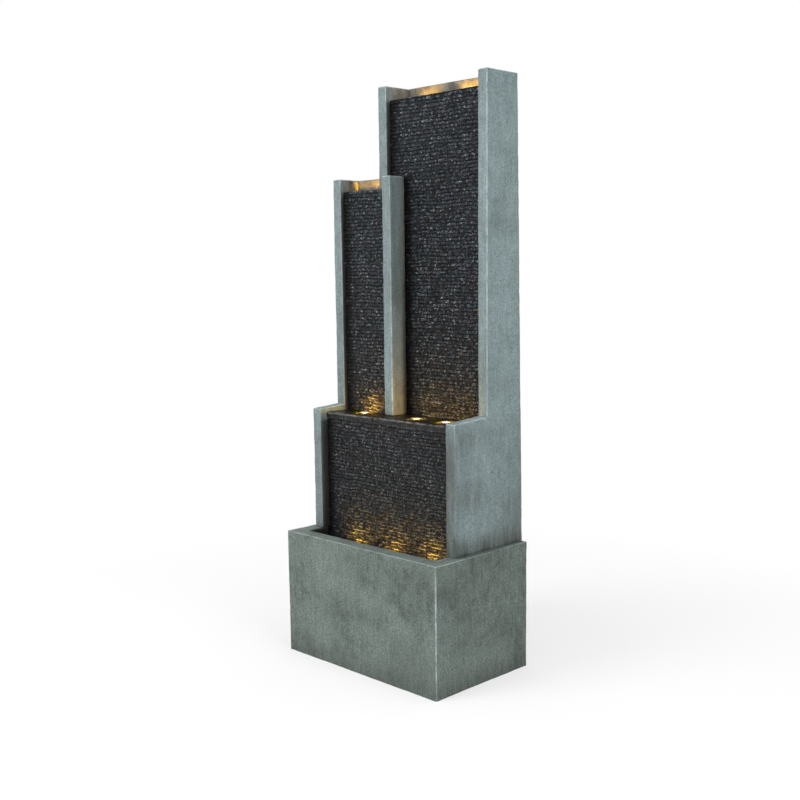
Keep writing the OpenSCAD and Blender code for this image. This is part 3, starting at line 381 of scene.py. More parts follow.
def glowing_lens(name, strength):
    material, tree, shader = start_material(name, LENS_BODY, 0.15)
    swirl = mottle(tree, *LENS_PATTERN)
    glow = blend_colours(tree, swirl, LENS_DEEP, LENS_PALE)
    tree.links.new(glow, shader.inputs["Emission Color"])
    shader.inputs["Emission Strength"].default_value = strength
    return material


FINISHES = {
    "tower_cement": cement(
        "tower_cement", body=(0.175, 0.24, 0.247), pale=(0.31, 0.398, 0.41), dark=(0.1, 0.133, 0.134),
        cloud=0.75, wear_and_highlight_share=0.85,
    ),
    "basin_cement": cement(
        "basin_cement", body=(0.089, 0.115, 0.101), pale=(0.212, 0.264, 0.238), dark=(0.04, 0.052, 0.045),
        cloud=0.94, wear_and_highlight_share=0.95,
    ),
    "wet_slate": wet_slate(
        "wet_slate", body=(0.0033, 0.0035, 0.004), crest=(0.106, 0.112, 0.117), pale=(0.5, 0.52, 0.54),
        smooth=0.2, specular=0.1,
    ),
    "black_plastic": moulded("black_plastic", (0.02, 0.02, 0.022), 0.42),
    "blue_plastic": moulded("blue_plastic", (0.05, 0.18, 0.38), 0.32),
    "red_plastic": moulded("red_plastic", (0.45, 0.03, 0.02), 0.35),
    "rotor_plastic": moulded("rotor_plastic", (0.07, 0.07, 0.08), 0.38),
    "shaft_ceramic": moulded("shaft_ceramic", (0.82, 0.81, 0.77), 0.12, GLAZED_GRAIN),
    "black_rubber": moulded("black_rubber", (0.018, 0.018, 0.018), 0.75),
    "clear_rubber": moulded("clear_rubber", (0.2, 0.21, 0.21), 0.3),
    "hose_rubber": moulded("hose_rubber", (0.03, 0.03, 0.032), 0.55),
    "lead_rubber": moulded("lead_rubber", (0.02, 0.02, 0.02), 0.5),
    "red_rubber": moulded("red_rubber", (0.33, 0.035, 0.025), 0.65),
    "steel": metal("steel", (0.6, 0.6, 0.61), 0.3),
    "brass": metal("brass", (0.7, 0.5, 0.2), 0.32),
    "lamp_lens": glowing_lens("lamp_lens", 7.0),
}
LEDGE_FINISH = wet_slate(
    "ledge_slate", body=(0.007, 0.0066, 0.006), crest=(0.1, 0.1, 0.1), pale=(0.45, 0.45, 0.43),
    smooth=0.36, specular=0.14,
)
DULL_STEEL = moulded("dull_steel", (0.035, 0.031, 0.025), 0.5)

SLOT_OF = {part["node"]: part["material_slot"] for part in frame["record"]["subparts"]}
BODY_OF = {name: body for body, names in frame["record"]["behaviour"]["bodies"].items() for name in names}


def dress_cad_nodes():
    for name, made in cad_nodes.items():
        made.data.materials.clear()
        made.data.materials.append(FINISHES[SLOT_OF[name]])
    cad_nodes["ledge_lamp_bezels"].data.materials[0] = DULL_STEEL


def hand_in(piece_name, bm, cad_name, finish=None):
    """Makes a piece of a bmesh that stands for a CAD node, on its body and with its finish."""
    piece = add_object(piece_name, mesh_of(piece_name, bm))
    piece.data.materials.append(finish or FINISHES[SLOT_OF[cad_name]])
    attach(piece, BODY_OF[cad_name])
    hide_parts(cad_name)


# Mesh work. At an edge the surface turns by the edge's angle: outwards above 0, inwards below 0
CORNER = math.radians(25)
FLAT_ENOUGH = math.radians(0.6)
SAME_POINT = 0.005 * MM


def smooth_faces(bm):
    for face in bm.faces:
        face.smooth = True


def merged_copy(cad_name):
    """A CAD node's mesh, with its loose triangles joined and its flat faces made whole."""
    bm = bmesh.new()
    bm.from_mesh(cad_nodes[cad_name].data)
    bmesh.ops.remove_doubles(bm, verts=bm.verts, dist=SAME_POINT)
    bmesh.ops.dissolve_limit(bm, angle_limit=FLAT_ENOUGH, verts=bm.verts, edges=bm.edges)
    smooth_faces(bm)
    return bm


def round_edges(bm, radius, shortest, segments):
    """Rounds the long arrises that stick out."""
    arrises = [
        e for e in bm.edges
        if e.is_manifold and e.calc_length() > shortest and e.calc_face_angle_signed(0) > CORNER
    ]
    bmesh.ops.bevel(
        bm, geom=arrises, offset=radius, offset_type="OFFSET", segments=segments, profile=0.5,
        affect="EDGES", material=-1, clamp_overlap=False, loop_slide=True,
    )


def cut_at(bm, axis, at):
    """Cuts the faces at a place along one axis."""
    along = Vector(1 if i == axis else 0 for i in range(3))
    bmesh.ops.bisect_plane(
        bm, geom=bm.verts[:] + bm.edges[:] + bm.faces[:], plane_co=along * at, plane_no=along, dist=1e-6,
    )


def cut_in_strips(bm, steps):
    """Cuts the faces at even steps along each axis, so that they can be bent."""
    low = Vector(min(v.co[i] for v in bm.verts) for i in range(3))
    high = Vector(max(v.co[i] for v in bm.verts) for i in range(3))
    for axis, step in enumerate(steps):
        if not step:
            continue
        for i in range(1, int((high[axis] - low[axis]) / step) + 1):
            cut_at(bm, axis, low[axis] + i * step)


def ease(value, start, end):
    """A smooth step from 0 at start to 1 at end."""
    share = max(0.0, min(1.0, (value - start) / (end - start)))
    return share * share * (3 - 2 * share)


def limit(value):
    return max(0.0, min(1.0, value))


# Weathering and painted light: where the castings are worn with a painted highlight, pale, damp, stained and
# slimy, where painted shade darkens side faces and recesses, and how much, from 0 to 1
BAY_EDGE = 9 * MM
# Arris marks: partly wear and chips, partly a painted highlight
WEAR_AND_HIGHLIGHT_MOST, WEAR_AND_HIGHLIGHT_TILT = 0.75, (0.04, 0.13)
FACE_STAIN, FOOT_STAIN, BACK_STAIN, FIN_STAIN, RIM_STAIN = 0.45, 0.3, 0.85, 0.5, 0.35
# Slime shares: partly slime, partly painted shade; the left walls' and the fin's shares are painted shade
MOST_SLIME_AND_SHADE, FRONT_SLIME_AND_SHADE, LEFT_PAINTED_SHADE, RIM_SLIME_AND_SHADE, FIN_PAINTED_SHADE = 0.93, 0.62, 0.6, 0.9, 0.88
TOWER_FRONT_DAMP, LEFT_FRONT_DAMP = 0.3, 0.14
# The side shares of the cabinet, the fin and the basin are painted shade on side faces
CABINET_RIGHT_DAMP, CABINET_LEFT_DAMP, CABINET_SIDE_PAINTED_SHADE, CABINET_FOOT_DAMP = 0.85, 0.4, 0.27, 0.95
FIN_DAMP, FIN_SIDE_PAINTED_SHADE, FIN_DRY_FOOT = 0.28, 0.3, 0.85
BASIN_FOOT_DAMP, POOL_DAMP, BASIN_SIDE_PAINTED_SHADE = 0.55, 0.8, 0.1


class Bay:
    """A bay that water runs down: its edges, and its panel's face, back and top."""

    def __init__(self, panel, right_piece, front, foot, top, deep):
        low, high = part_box(panel)
        self.left = low.x - BAY_EDGE
        self.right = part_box(right_piece)[1].x + BAY_EDGE
        self.front, self.face, self.back = front, low.y, high.y
        self.foot, self.panel_top, self.top, self.deep = foot, high.z, top, deep

    def holds(self, point):
        across = self.left < point.x < self.right and self.front - 1 * MM < point.y < self.deep
        return across and self.foot - 10 * MM < point.z < self.top + 3 * MM


LOWER_BAY = Bay(
    "lower_panel", "lower_panel", front=SHELL_LOW.y, foot=RIM_TOP, top=LEDGE_TOP, deep=LOWER_HIGH.y + 10 * MM,
)
SHORT_BAY = Bay(
    "short_panel", "short_trough", front=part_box("short_panel")[0].y - 12 * MM, foot=LEDGE_TOP,
    top=DIVIDER_HIGH.z, deep=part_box("short_trough")[1].y + 6 * MM,
)
TALL_BAY = Bay(
    "tall_panel", "tall_panel", front=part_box("tall_panel")[0].y - 15 * MM, foot=LEDGE_TOP,
    top=SHELL_HIGH.z, deep=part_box("tall_trough")[1].y + 6 * MM,
)
BAYS = (LOWER_BAY, SHORT_BAY, TALL_BAY)

# Soft spots: the middle, the reach along x, y and z, and the strength
BASIN_FRONT, BASIN_SIDE, CABINET_SIDE = BASIN_LOW.y, BASIN_HIGH.x, SHELL_HIGH.x
PALE_SPOTS = (
    ((-0.32, BASIN_FRONT + 0.12, RIM_TOP), (0.07, 0.2, 0.01), 0.9),
    ((-0.15, BASIN_FRONT, 0.28), (0.17, 0.03, 0.08), 1.0),
    ((0.05, BASIN_FRONT, 0.245), (0.15, 0.03, 0.06), 0.65),
    ((-0.2, BASIN_FRONT, 0.09), (0.14, 0.03, 0.04), 0.75),
    ((0.12, BASIN_FRONT, 0.12), (0.12, 0.03, 0.04), 0.35),
    ((BASIN_SIDE, 0.0, 0.08), (0.03, 0.11, 0.02), 0.95),
    ((BASIN_SIDE, 0.05, 0.24), (0.03, 0.12, 0.11), 0.5),
    ((CABINET_SIDE, 0.03, 0.665), (0.03, 0.09, 0.09), 0.95),
    ((CABINET_SIDE, 0.12, 0.74), (0.03, 0.09, 0.05), 0.55),
    ((CABINET_SIDE, -0.06, 0.51), (0.03, 0.025, 0.06), 0.4),
    ((CABINET_SIDE, 0.12, 1.12), (0.03, 0.08, 0.2), 0.45),
    ((CABINET_SIDE, 0.13, 1.6), (0.03, 0.06, 0.15), 0.5),
)
DARK_SPOTS = (
    ((BASIN_SIDE, -0.14, 0.31), (0.03, 0.08, 0.09), 0.5),
    ((BASIN_SIDE, 0.12, 0.13), (0.03, 0.09, 0.05), 0.4),
    ((0.23, BASIN_FRONT, 0.09), (0.16, 0.03, 0.11), 0.45),
    ((0.24, BASIN_FRONT, 0.34), (0.14, 0.03, 0.07), 0.3),
    ((-0.05, BASIN_FRONT, 0.18), (0.18, 0.03, 0.045), 0.35),
    ((CABINET_SIDE, -0.03, 0.57), (0.03, 0.09, 0.08), 0.45),
    ((CABINET_SIDE, 0.16, 0.5), (0.03, 0.09, 0.12), 0.4),
    ((CABINET_SIDE, -0.05, 0.74), (0.03, 0.06, 0.05), 0.35),
    ((CABINET_SIDE, 0.09, 0.9), (0.03, 0.1, 0.1), 0.2),
    ((CABINET_SIDE, 0.1, 1.36), (0.03, 0.08, 0.12), 0.2),
)


def spots_at(point, spots):
    """The strongest of the soft spots that reach a point."""
    most = 0.0
    for middle, reach, strength in spots:
        away = Vector((p - m) / r for p, m, r in zip(point, middle, reach)).length
        most = max(most, strength * ease(away, 1.0, 0.0))
    return most


def stain_at(point):
    """Brown stains on the walls inside the bays, growing from the front to the back and to the foot."""
    most = 0.0
    for bay in BAYS:
        if not bay.holds(point):
            continue
        deep = ease(point.y, bay.front + 1 * MM, bay.front + 7 * MM)
        behind = ease(point.y, bay.back - 4 * MM, bay.back + 2 * MM)
        near_foot = ease(point.z, bay.foot + 0.25, bay.foot)
        most = max(most, deep * (FACE_STAIN + FOOT_STAIN * near_foot), behind * BACK_STAIN)
    return most


def slime_and_shade_at(point):
    """Black slime and painted shade where the walls meet the panels, below the panels' tops, and behind the
    rim, with painted shade low on the bays' left walls.
    """
    most = 0.0
    for bay in BAYS:
        if not bay.holds(point):
            continue
        near = ease(point.y, bay.front + 1 * MM, bay.front + 0.6 * (bay.face - bay.front))
        # Painted shade on the inner faces from the bay's front, and low on the left walls
        on_front = FRONT_SLIME_AND_SHADE * ease(point.y, bay.front - 1 * MM, bay.front + 4 * MM)
        low_down = ease(point.z, bay.foot + 0.3, bay.foot + 0.05)
        on_left = LEFT_PAINTED_SHADE * low_down * ease(point.x, 0, bay.left + 0.02)
        on_left *= ease(point.y, bay.front + 1 * MM, bay.front + 8 * MM)
        below_top = ease(point.z, bay.panel_top + 4 * MM, bay.panel_top - 10 * MM)
        most = max(most, max(near, on_front, on_left) * below_top)
    # Slime and painted shade behind the rim
    if point.z < RIM_TOP + 1 * MM and point.y < LOWER_LOW.y + 20 * MM:
        most = max(most, RIM_SLIME_AND_SHADE)
    return MOST_SLIME_AND_SHADE * most


def damp_and_shade_at(point, normal):
    """Damp and painted shade of the cabinet's castings: a dark foot above the rim, splashed front strips, and
    painted shade on the side faces.
    """
    spots = spots_at(point, DARK_SPOTS)
    on_front, on_side = max(0.0, -normal.y), abs(normal.x)
    if point.z > LEDGE_TOP + 20 * MM:
        front_damp = TOWER_FRONT_DAMP * ease(point.z, LEDGE_TOP + 0.6, LEDGE_TOP)
        front_damp += LEFT_FRONT_DAMP if point.x < 0 else 0.0
        return max(spots, front_damp * on_front)
    below_ledge = ease(point.z, LEDGE_TOP + 30 * MM, LEDGE_TOP - 30 * MM)
    foot = ease(point.z, RIM_TOP + 75 * MM, RIM_TOP + 4 * MM)
    front_damp = CABINET_RIGHT_DAMP if point.x > 0 else CABINET_LEFT_DAMP
    # Painted shade on the side faces
    walls = below_ledge * (front_damp * on_front + CABINET_SIDE_PAINTED_SHADE * on_side)
    return min(1.0, walls + CABINET_FOOT_DAMP * foot * max(0.2, on_side) + spots)


def divider_stain_at(point):
    """Brown stains of the fin, growing on its right side towards its foot."""
    low_down = ease(point.z, LEDGE_TOP + 0.4, LEDGE_TOP)
    on_right = ease(point.x, DIVIDER_LOW.x + 10 * MM, DIVIDER_HIGH.x - 2 * MM)
    off_front = ease(point.y, DIVIDER_LOW.y, DIVIDER_LOW.y + 12 * MM)
    return max(FIN_STAIN * low_down * on_right * off_front, stain_at(point))


def divider_painted_shade_at(point):
    """Painted shade of the fin: its sides are black where they meet the panels."""
    near = ease(point.y, TALL_BAY.face - 28 * MM, TALL_BAY.face - 5 * MM)
    return FIN_PAINTED_SHADE * near * ease(point.z, TALL_BAY.top, TALL_BAY.foot + 0.1)


def divider_damp_and_shade_at(point, normal):
    """Damp of the fin, with painted shade on its sides: more on its sides than on its front, and less at its
    foot.
    """
    low_down = ease(point.z, LEDGE_TOP + 0.42, LEDGE_TOP + 0.1)
    return (FIN_DAMP + FIN_SIDE_PAINTED_SHADE * abs(normal.x)) * (1 - FIN_DRY_FOOT * low_down)


def in_pool(point, margin=0.0):
    """Whether a point stands over the basin's pool, or over the margin around it."""
    low, high = BASIN_LOW, BASIN_HIGH
    across = low.x + POOL_INSET - margin < point.x < high.x - POOL_INSET + margin
    return across and low.y + POOL_INSET - margin < point.y < high.y - POOL_INSET


def basin_slime_and_shade_at(point):
    """Slime and painted shade of the basin: its pool is dark below the rim."""
    return MOST_SLIME_AND_SHADE * ease(point.z, RIM_TOP - 1 * MM, RIM_TOP - 8 * MM) if in_pool(point, 2 * MM) else 0.0


def basin_damp_and_shade_at(point, normal):
    """Damp of the basin: a darker foot, wet stone inside the pool, and painted shade on its side faces."""
    foot = ease(point.z, 85 * MM, 0.0)
    wet = ease(point.z, RIM_TOP, RIM_TOP - 30 * MM) if in_pool(point) else 0.0
    on_side = max(0.0, normal.x)
    spots = spots_at(point, DARK_SPOTS)
    # Painted shade on the side face
    return min(1.0, BASIN_FOOT_DAMP * foot + POOL_DAMP * wet + BASIN_SIDE_PAINTED_SHADE * on_side + spots)


def basin_stain_at(point):
    """Lime and algae washed from the cabinet's left foot onto the rim."""
    near = (point.xy - Vector((LOWER_LOW.x - 4 * MM, LOWER_LOW.y - 12 * MM))).length
    on_rim = ease(point.z, RIM_TOP - 12 * MM, RIM_TOP - 2 * MM)
    return RIM_STAIN * on_rim * ease(near, 42 * MM, 6 * MM)


def weather(bm, damp_and_shade_rule, stain_rule, slime_and_shade_rule):
    """Writes the damp, the stains, the slime and the pale blooms of each point of a casting; the damp and the
    slime also carry painted shade.
    """
    damp_and_shade = bm.verts.layers.float.new("damp_and_shade")
    stain = bm.verts.layers.float.new("stain")
    slime_and_shade = bm.verts.layers.float.new("slime_and_shade")
    pale = bm.verts.layers.float.new("pale")
    for v in bm.verts:
        v[pale] = spots_at(v.co, PALE_SPOTS)
        v[damp_and_shade] = damp_and_shade_rule(v.co, v.normal)
        v[stain] = stain_rule(v.co)
        v[slime_and_shade] = slime_and_shade_rule(v.co)


def mark_arrises(bm):
    """Marks the rounded arrises, where the surface faces along none of the axes, for wear and a painted
    highlight.
    """
    worn_and_highlit = bm.verts.layers.float.new("worn_and_highlit")
    bm.normal_update()
    for v in bm.verts:
        hollow = any(e.calc_face_angle_signed(0) < -CORNER for e in v.link_edges)
        tilt = 1 - max(abs(c) for c in v.normal)
        v[worn_and_highlit] = 0.0 if hollow else WEAR_AND_HIGHLIGHT_MOST * ease(tilt, *WEAR_AND_HIGHLIGHT_TILT)
    return worn_and_highlit


# Castings
BROAD_WAVE, FINE_WAVE, CHIP_WAVE = 0.14, 0.03, 0.022
CHIPPED_FROM, CHIP_MOST = 0.2, 0.25
LONG_ARRIS, SHORT_ARRIS = 28 * MM, 5 * MM
LEDGE_SEED, LEDGE_GREY = 11, 0.6
# Painted lamp light on the ledge's top round its lamps
LEDGE_LIT, LEDGE_LIT_REACH = 0.5, (33 * MM, 14 * MM)


def wobble(point, wave, seed):
    return noise.noise(point / wave + Vector((seed, seed * 1.7, seed * 2.3)))


def make_uneven(bm, broad, fine, chipped, seed):
    """Moves the surface in and out a little: broad waves, fine ones, and chips along the arrises."""
    worn_and_highlit = mark_arrises(bm)
    moves = []
    for v in bm.verts:
        move = broad * wobble(v.co, BROAD_WAVE, seed) + fine * wobble(v.co, FINE_WAVE, seed + 5)
        if v[worn_and_highlit] > CHIPPED_FROM:
            move += chipped * min(CHIP_MOST, wobble(v.co, CHIP_WAVE, seed + 9)) * v[worn_and_highlit]
        moves.append(v.normal * move)
    for v, move in zip(bm.verts, moves):
        v.co += move


def close_narrow_top(bm, width):
    """Joins the two edges of a flat top that is too narrow to be rounded."""
    top = max(v.co.z for v in bm.verts) - 0.01 * MM
    bmesh.ops.remove_doubles(bm, verts=[v for v in bm.verts if v.co.z > top], dist=width)


def mark_courses(bm, pitch):
    """Marks grey crests on a slab's front, partly a painted highlight, and painted lamp light on its top
    round the lamps.
    """
    edge = bm.verts.layers.float.new("edge")
    under = bm.verts.layers.float.new("under")
    for v in bm.verts:
        near = min((v.co - lamp).length for lamp in LEDGE_LAMPS)
        v[under] = LEDGE_LIT * ease(near, *LEDGE_LIT_REACH) * max(0.0, v.normal.z)
        grey = split_course(v.co.x, v.co.z, pitch, LEDGE_SEED)[1]
        v[edge] = LEDGE_GREY * grey * max(0.0, -v.normal.y)


def cast_piece(
    cad_name, piece_name, radius, steps, seed, broad=0.8 * MM, fine=0.3 * MM, chipped=1.6 * MM,
    damp_and_shade_rule=damp_and_shade_at, stain_rule=stain_at, slime_and_shade_rule=slime_and_shade_at, extra_cuts=(), finish=None,
    courses=None, narrow_top=None,
):
    """A casting with rounded, chipped arrises, an uneven surface and its weathering, with painted shade and
    painted highlights.
    """
    bm = merged_copy(cad_name)
    if narrow_top:
        close_narrow_top(bm, narrow_top)
    round_edges(bm, radius, shortest=LONG_ARRIS, segments=3)
    cut_in_strips(bm, steps)
    for axis, at in extra_cuts:
        cut_at(bm, axis, at)
    make_uneven(bm, broad, fine, chipped, seed)
    weather(bm, damp_and_shade_rule, stain_rule, slime_and_shade_rule)
    if courses:
        mark_courses(bm, courses)
    smooth_faces(bm)
    for e in bm.edges:
        e.smooth = e.calc_face_angle_signed(0) > -CORNER
    hand_in(piece_name, bm, cad_name, finish)


# Split slate: the courses sag and ripple, and are broken in lengths, chips, crumbs and specks
COURSE_DEPTH, COURSE_PITCH, LEDGE_PITCH = 4 * MM, 11 * MM, 7 * MM
COURSE_FOOT, COURSE_HEAD = 0.24, 0.28
SAG, SAG_LENGTH = 4.2 * MM, 85 * MM
RIPPLE, RIPPLE_LENGTH = 1.6 * MM, 17 * MM
PROUD_LENGTH, CHIP_LENGTH, LIP_LENGTH = 15 * MM, 5.6 * MM, 20 * MM
CRUMB_ACROSS, CRUMB_HIGH = 6.5 * MM, 4.2 * MM
SPECK_ACROSS, SPECK_HIGH = 4.5 * MM, 2.8 * MM
WALL_SHADE, FIN_SHADE = (46 * MM, 14 * MM), (44 * MM, 12 * MM)
MESH_ACROSS, MESH_RISE = 2.7 * MM, 1.6 * MM
MESH_JITTER, JITTER_CYCLES = 0.4, 900
# Painted lamp light that every underside gets, far from the lamps too
UNDERSIDE_PAINTED_LIGHT = 0.03
LAMP_WIDENING, LAMP_FULL_TO = 0.25, 0.3


def grit(x, y, z):
    return noise.noise(Vector((x, y, z)))


def split_course(x, z, pitch, seed):
    """Relief, grey crest and pale underside, each 0 to 1, of a split slate face in ragged courses: the crest
    is partly a painted highlight, the gaps between crests painted shade, and the underside the place for
    painted lamp light.
    """
    waved = z + SAG * wobble(Vector((x, 0, z * 0.6)), SAG_LENGTH, seed)
    waved += RIPPLE * wobble(Vector((x, seed, z)), RIPPLE_LENGTH, seed + 3)
    course = math.floor(waved / pitch)
    share = waved / pitch - course
    shift = 40 * noise.cell(Vector((course * 1.37 + seed, 0.5, 0.5)))
    proud = limit(0.55 + 1.1 * grit(x / PROUD_LENGTH + shift, course * 3.7, seed))
    body = min(1.0, share / COURSE_FOOT) * min(1.0, (1 - share) / COURSE_HEAD)
    crumbs = 0.26 * grit(x / CRUMB_ACROSS, course * 2.1, z / CRUMB_HIGH)
    relief = limit(body * (0.28 + 0.72 * proud) + crumbs * body)
    broken = ease(grit(x / CHIP_LENGTH + shift, course * 1.9, seed + 4), -0.3, 0.3)
    specks = 0.6 + 0.9 * grit(x / SPECK_ACROSS, seed, z / SPECK_HIGH)
    # Grey crest: partly a painted highlight on the proud courses, with near-black painted shade in the gaps
    grey = body * (0.25 + 0.75 * proud) * (0.25 + 0.75 * broken) * specks
    whole = ease(grit(x / LIP_LENGTH + shift, course * 2.9, seed + 8), -0.12, 0.2)
    under = whole * min(1.0, share / 0.05) * ease(share, 0.3, 0.2)
    return relief, limit(1.35 * grey), under


def lit_from_below(point, lamps, reach, rise, strength):
    """How much painted lamp light the undersides of the courses get from the nearest lamp below them."""
    most = 0.0
    for lamp in lamps:
        above = point.z - lamp.z
        away = (point.x - lamp.x) / (reach + LAMP_WIDENING * max(0.0, above))
        most = max(most, math.exp(-away * away) * ease(above / rise, 1.0, LAMP_FULL_TO))
    return strength * most


def rippled_panel(cad_name, piece_name, seed, lamps, reach, climb, strength):
    """A slate panel with its front split in ragged courses, with painted shade along the wall on its left."""
    low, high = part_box(cad_name)
    size, middle = high - low, (low + high) / 2
    bm = bmesh.new()
    bmesh.ops.create_grid(
        bm, x_segments=int(size.x / MESH_ACROSS), y_segments=int(size.z / MESH_RISE), size=0.5,
    )
    upright = Matrix((
        (size.x, 0, 0, middle.x),
        (0, 0, 0, low.y),
        (0, size.z, 0, middle.z),
        (0, 0, 0, 1),
    ))
    bmesh.ops.transform(bm, matrix=upright, verts=bm.verts)
    edge = bm.verts.layers.float.new("edge")
    shade = bm.verts.layers.float.new("shade")
    under = bm.verts.layers.float.new("under")
    for v in bm.verts:
        # Painted shade beside the wall on the panel's left, and beside the fin low on the tall panel
        v[shade] = ease(v.co.x - low.x, *WALL_SHADE)
        if cad_name == "tall_panel" and v.co.z < DIVIDER_HIGH.z:
            v[shade] = ease(v.co.x - DIVIDER_HIGH.x, *FIN_SHADE)
        if not v.is_boundary:
            v.co.x += MESH_JITTER * MESH_ACROSS * noise.noise(v.co * JITTER_CYCLES)
            v.co.z += MESH_JITTER * MESH_RISE * noise.noise(v.co * JITTER_CYCLES + Vector((7, 3, 5)))
        relief, v[edge], lip = split_course(v.co.x, v.co.z, COURSE_PITCH, seed)
        lit = UNDERSIDE_PAINTED_LIGHT + lit_from_below(v.co, lamps, reach, climb, strength)
        v[under] = lip * lit * (1 - v[shade])
        v.co.y = low.y + COURSE_DEPTH * (1 - relief)
    front_rim = [e for e in bm.edges if e.is_boundary]
    sides = bmesh.ops.extrude_edge_only(bm, edges=front_rim)
    for v in sides["geom"]:
        if isinstance(v, bmesh.types.BMVert):
            v.co.y = high.y
            v[edge] = v[under] = 0
    bmesh.ops.contextual_create(bm, geom=[e for e in bm.edges if e.is_boundary])
    bmesh.ops.recalc_face_normals(bm, faces=bm.faces)
    hand_in(piece_name, bm, cad_name)


# Turned and moulded pieces. A profile holds pairs of radius and height
TURNED_CREASE = math.radians(38)
MOULDED_CREASE = math.radians(30)
FLUTED_FROM = 0.97
LENS_THICK = 2.5 * MM
LENS_RING = 0.12 * MM
BASIN_LENS_LEAN = math.radians(24)
UPWARD, REARWARD = (0, 0, 1), (0, 1, 0)


def add_turned(bm, profile, at, axis, steps=48, flutes=0, depth=0.0):
    """Adds a turned body: its profile starts and ends on the axis."""
    before = set(bm.verts)
    verts = [bm.verts.new((radius, 0, along)) for radius, along in profile]
    edges = [bm.edges.new(pair) for pair in zip(verts, verts[1:])]
    bmesh.ops.spin(
        bm, geom=verts + edges, axis=UPWARD, cent=(0, 0, 0), dvec=(0, 0, 0), angle=2 * math.pi,
        steps=steps, use_merge=True,
    )
    made = [v for v in bm.verts if v not in before]
    widest = max(radius for radius, along in profile)
    for v in made:
        reach = math.hypot(v.co.x, v.co.y)
        if flutes and reach > FLUTED_FROM * widest:
            dent = 1 - depth * (0.5 + 0.5 * math.cos(flutes * math.atan2(v.co.y, v.co.x)))
            v.co.x *= dent
            v.co.y *= dent
    turn = Vector(UPWARD).rotation_difference(Vector(axis)).to_matrix().to_4x4()
    bmesh.ops.transform(bm, matrix=Matrix.Translation(at) @ turn, verts=made)


def finish_turned(bm, piece_name, cad_name):
    bmesh.ops.remove_doubles(bm, verts=bm.verts, dist=0.001 * MM)
    bmesh.ops.recalc_face_normals(bm, faces=bm.faces)
    smooth_faces(bm)
    for e in bm.edges:
        e.smooth = e.calc_face_angle(0) < TURNED_CREASE
    hand_in(piece_name, bm, cad_name)


def domed_profile(radius, thick, rise, rings):
    """A lens: a flat foot, an upright rim and a dome with shallow rings."""
    points = [(0, 0), (radius, 0), (radius, thick - rise)]
    steps = rings * 4
    for i in range(1, steps + 1):
        share = i / steps
        ring = LENS_RING * math.cos(share * rings * 2 * math.pi)
        points.append((radius * (1 - share), thick - rise * (1 - share) ** 2 + ring * (1 - share)))
    return points


def add_lenses():
    """Domed lenses of the lamps, over their flat ones: those in the basin lean towards the panel."""
    leaning = (0, math.sin(BASIN_LENS_LEAN), math.cos(BASIN_LENS_LEAN))
    for kind, axis in (("ledge_lamp", UPWARD), ("basin_lamp", leaning)):
        for i in LAMP_NUMBERS:
            cad_name = f"{kind}_{i}_lens"
            low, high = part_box(cad_name)
            radius = (high.x - low.x) / 2
            foot = (low + high) / 2 - Vector(axis) * LENS_THICK / 2
            profile = domed_profile(radius, thick=LENS_THICK + 1.2 * MM, rise=1.8 * MM, rings=6)
            bm = bmesh.new()
            add_turned(bm, profile, foot, axis)
            finish_turned(bm, f"{kind}_{i}_dome", cad_name)
    for cad_name in ("short_trough_lamp_lenses", "tall_trough_lamp_lenses"):
        low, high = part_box(cad_name)
        radius = (high.y - low.y) / 2
        profile = domed_profile(radius, thick=LENS_THICK + 0.8 * MM, rise=1.4 * MM, rings=5)
        bm = bmesh.new()
        for x in (low.x + radius, high.x - radius):
            add_turned(bm, profile, Vector((x, (low.y + high.y) / 2, low.z)), UPWARD)
        finish_turned(bm, cad_name + "_domes", cad_name)


def add_thumb_screws():
    """The door's four captive screws: threaded shanks and knurled heads with a dished end."""
    low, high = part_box("door_screws")
    head, thick, shank, thread_step = 7 * MM, 6 * MM, 3 * MM, 0.5 * MM
    length = high.y - low.y
    under = length - thick
    profile = [(0, 0), (shank * 0.8, 0)]
    for i in range(int(under / thread_step) - 1):
        crest = 1.0 if i % 2 else 0.9
        profile.append((shank * crest, 0.4 * MM + i * thread_step))
    profile += [
        (shank, under - 0.2 * MM), (head * 0.9, under), (head, under + 0.7 * MM), (head, length - 1.6 * MM),
        (head * 0.97, length - 0.5 * MM), (head * 0.82, length), (head * 0.6, length),
        (head * 0.5, length - 1.1 * MM), (0, length - 1.4 * MM),
    ]
    bm = bmesh.new()
    for x in (low.x + head, high.x - head):
        for z in (low.z + head, high.z - head):
            add_turned(bm, profile, Vector((x, low.y, z)), REARWARD, steps=96, flutes=32, depth=0.07)
    finish_turned(bm, "door_thumb_screws", "door_screws")


def add_rounded_block(bm, low, high, radius):
    before = set(bm.verts)
    shape = Matrix.Translation((low + high) / 2) @ Matrix.Diagonal((*(high - low), 1))
    bmesh.ops.create_cube(bm, size=1, matrix=shape)
    made = [v for v in bm.verts if v not in before]
    edges = list({e for v in made for e in v.link_edges})
    bmesh.ops.bevel(bm, geom=edges, offset=radius, segments=3, profile=0.5, affect="EDGES")


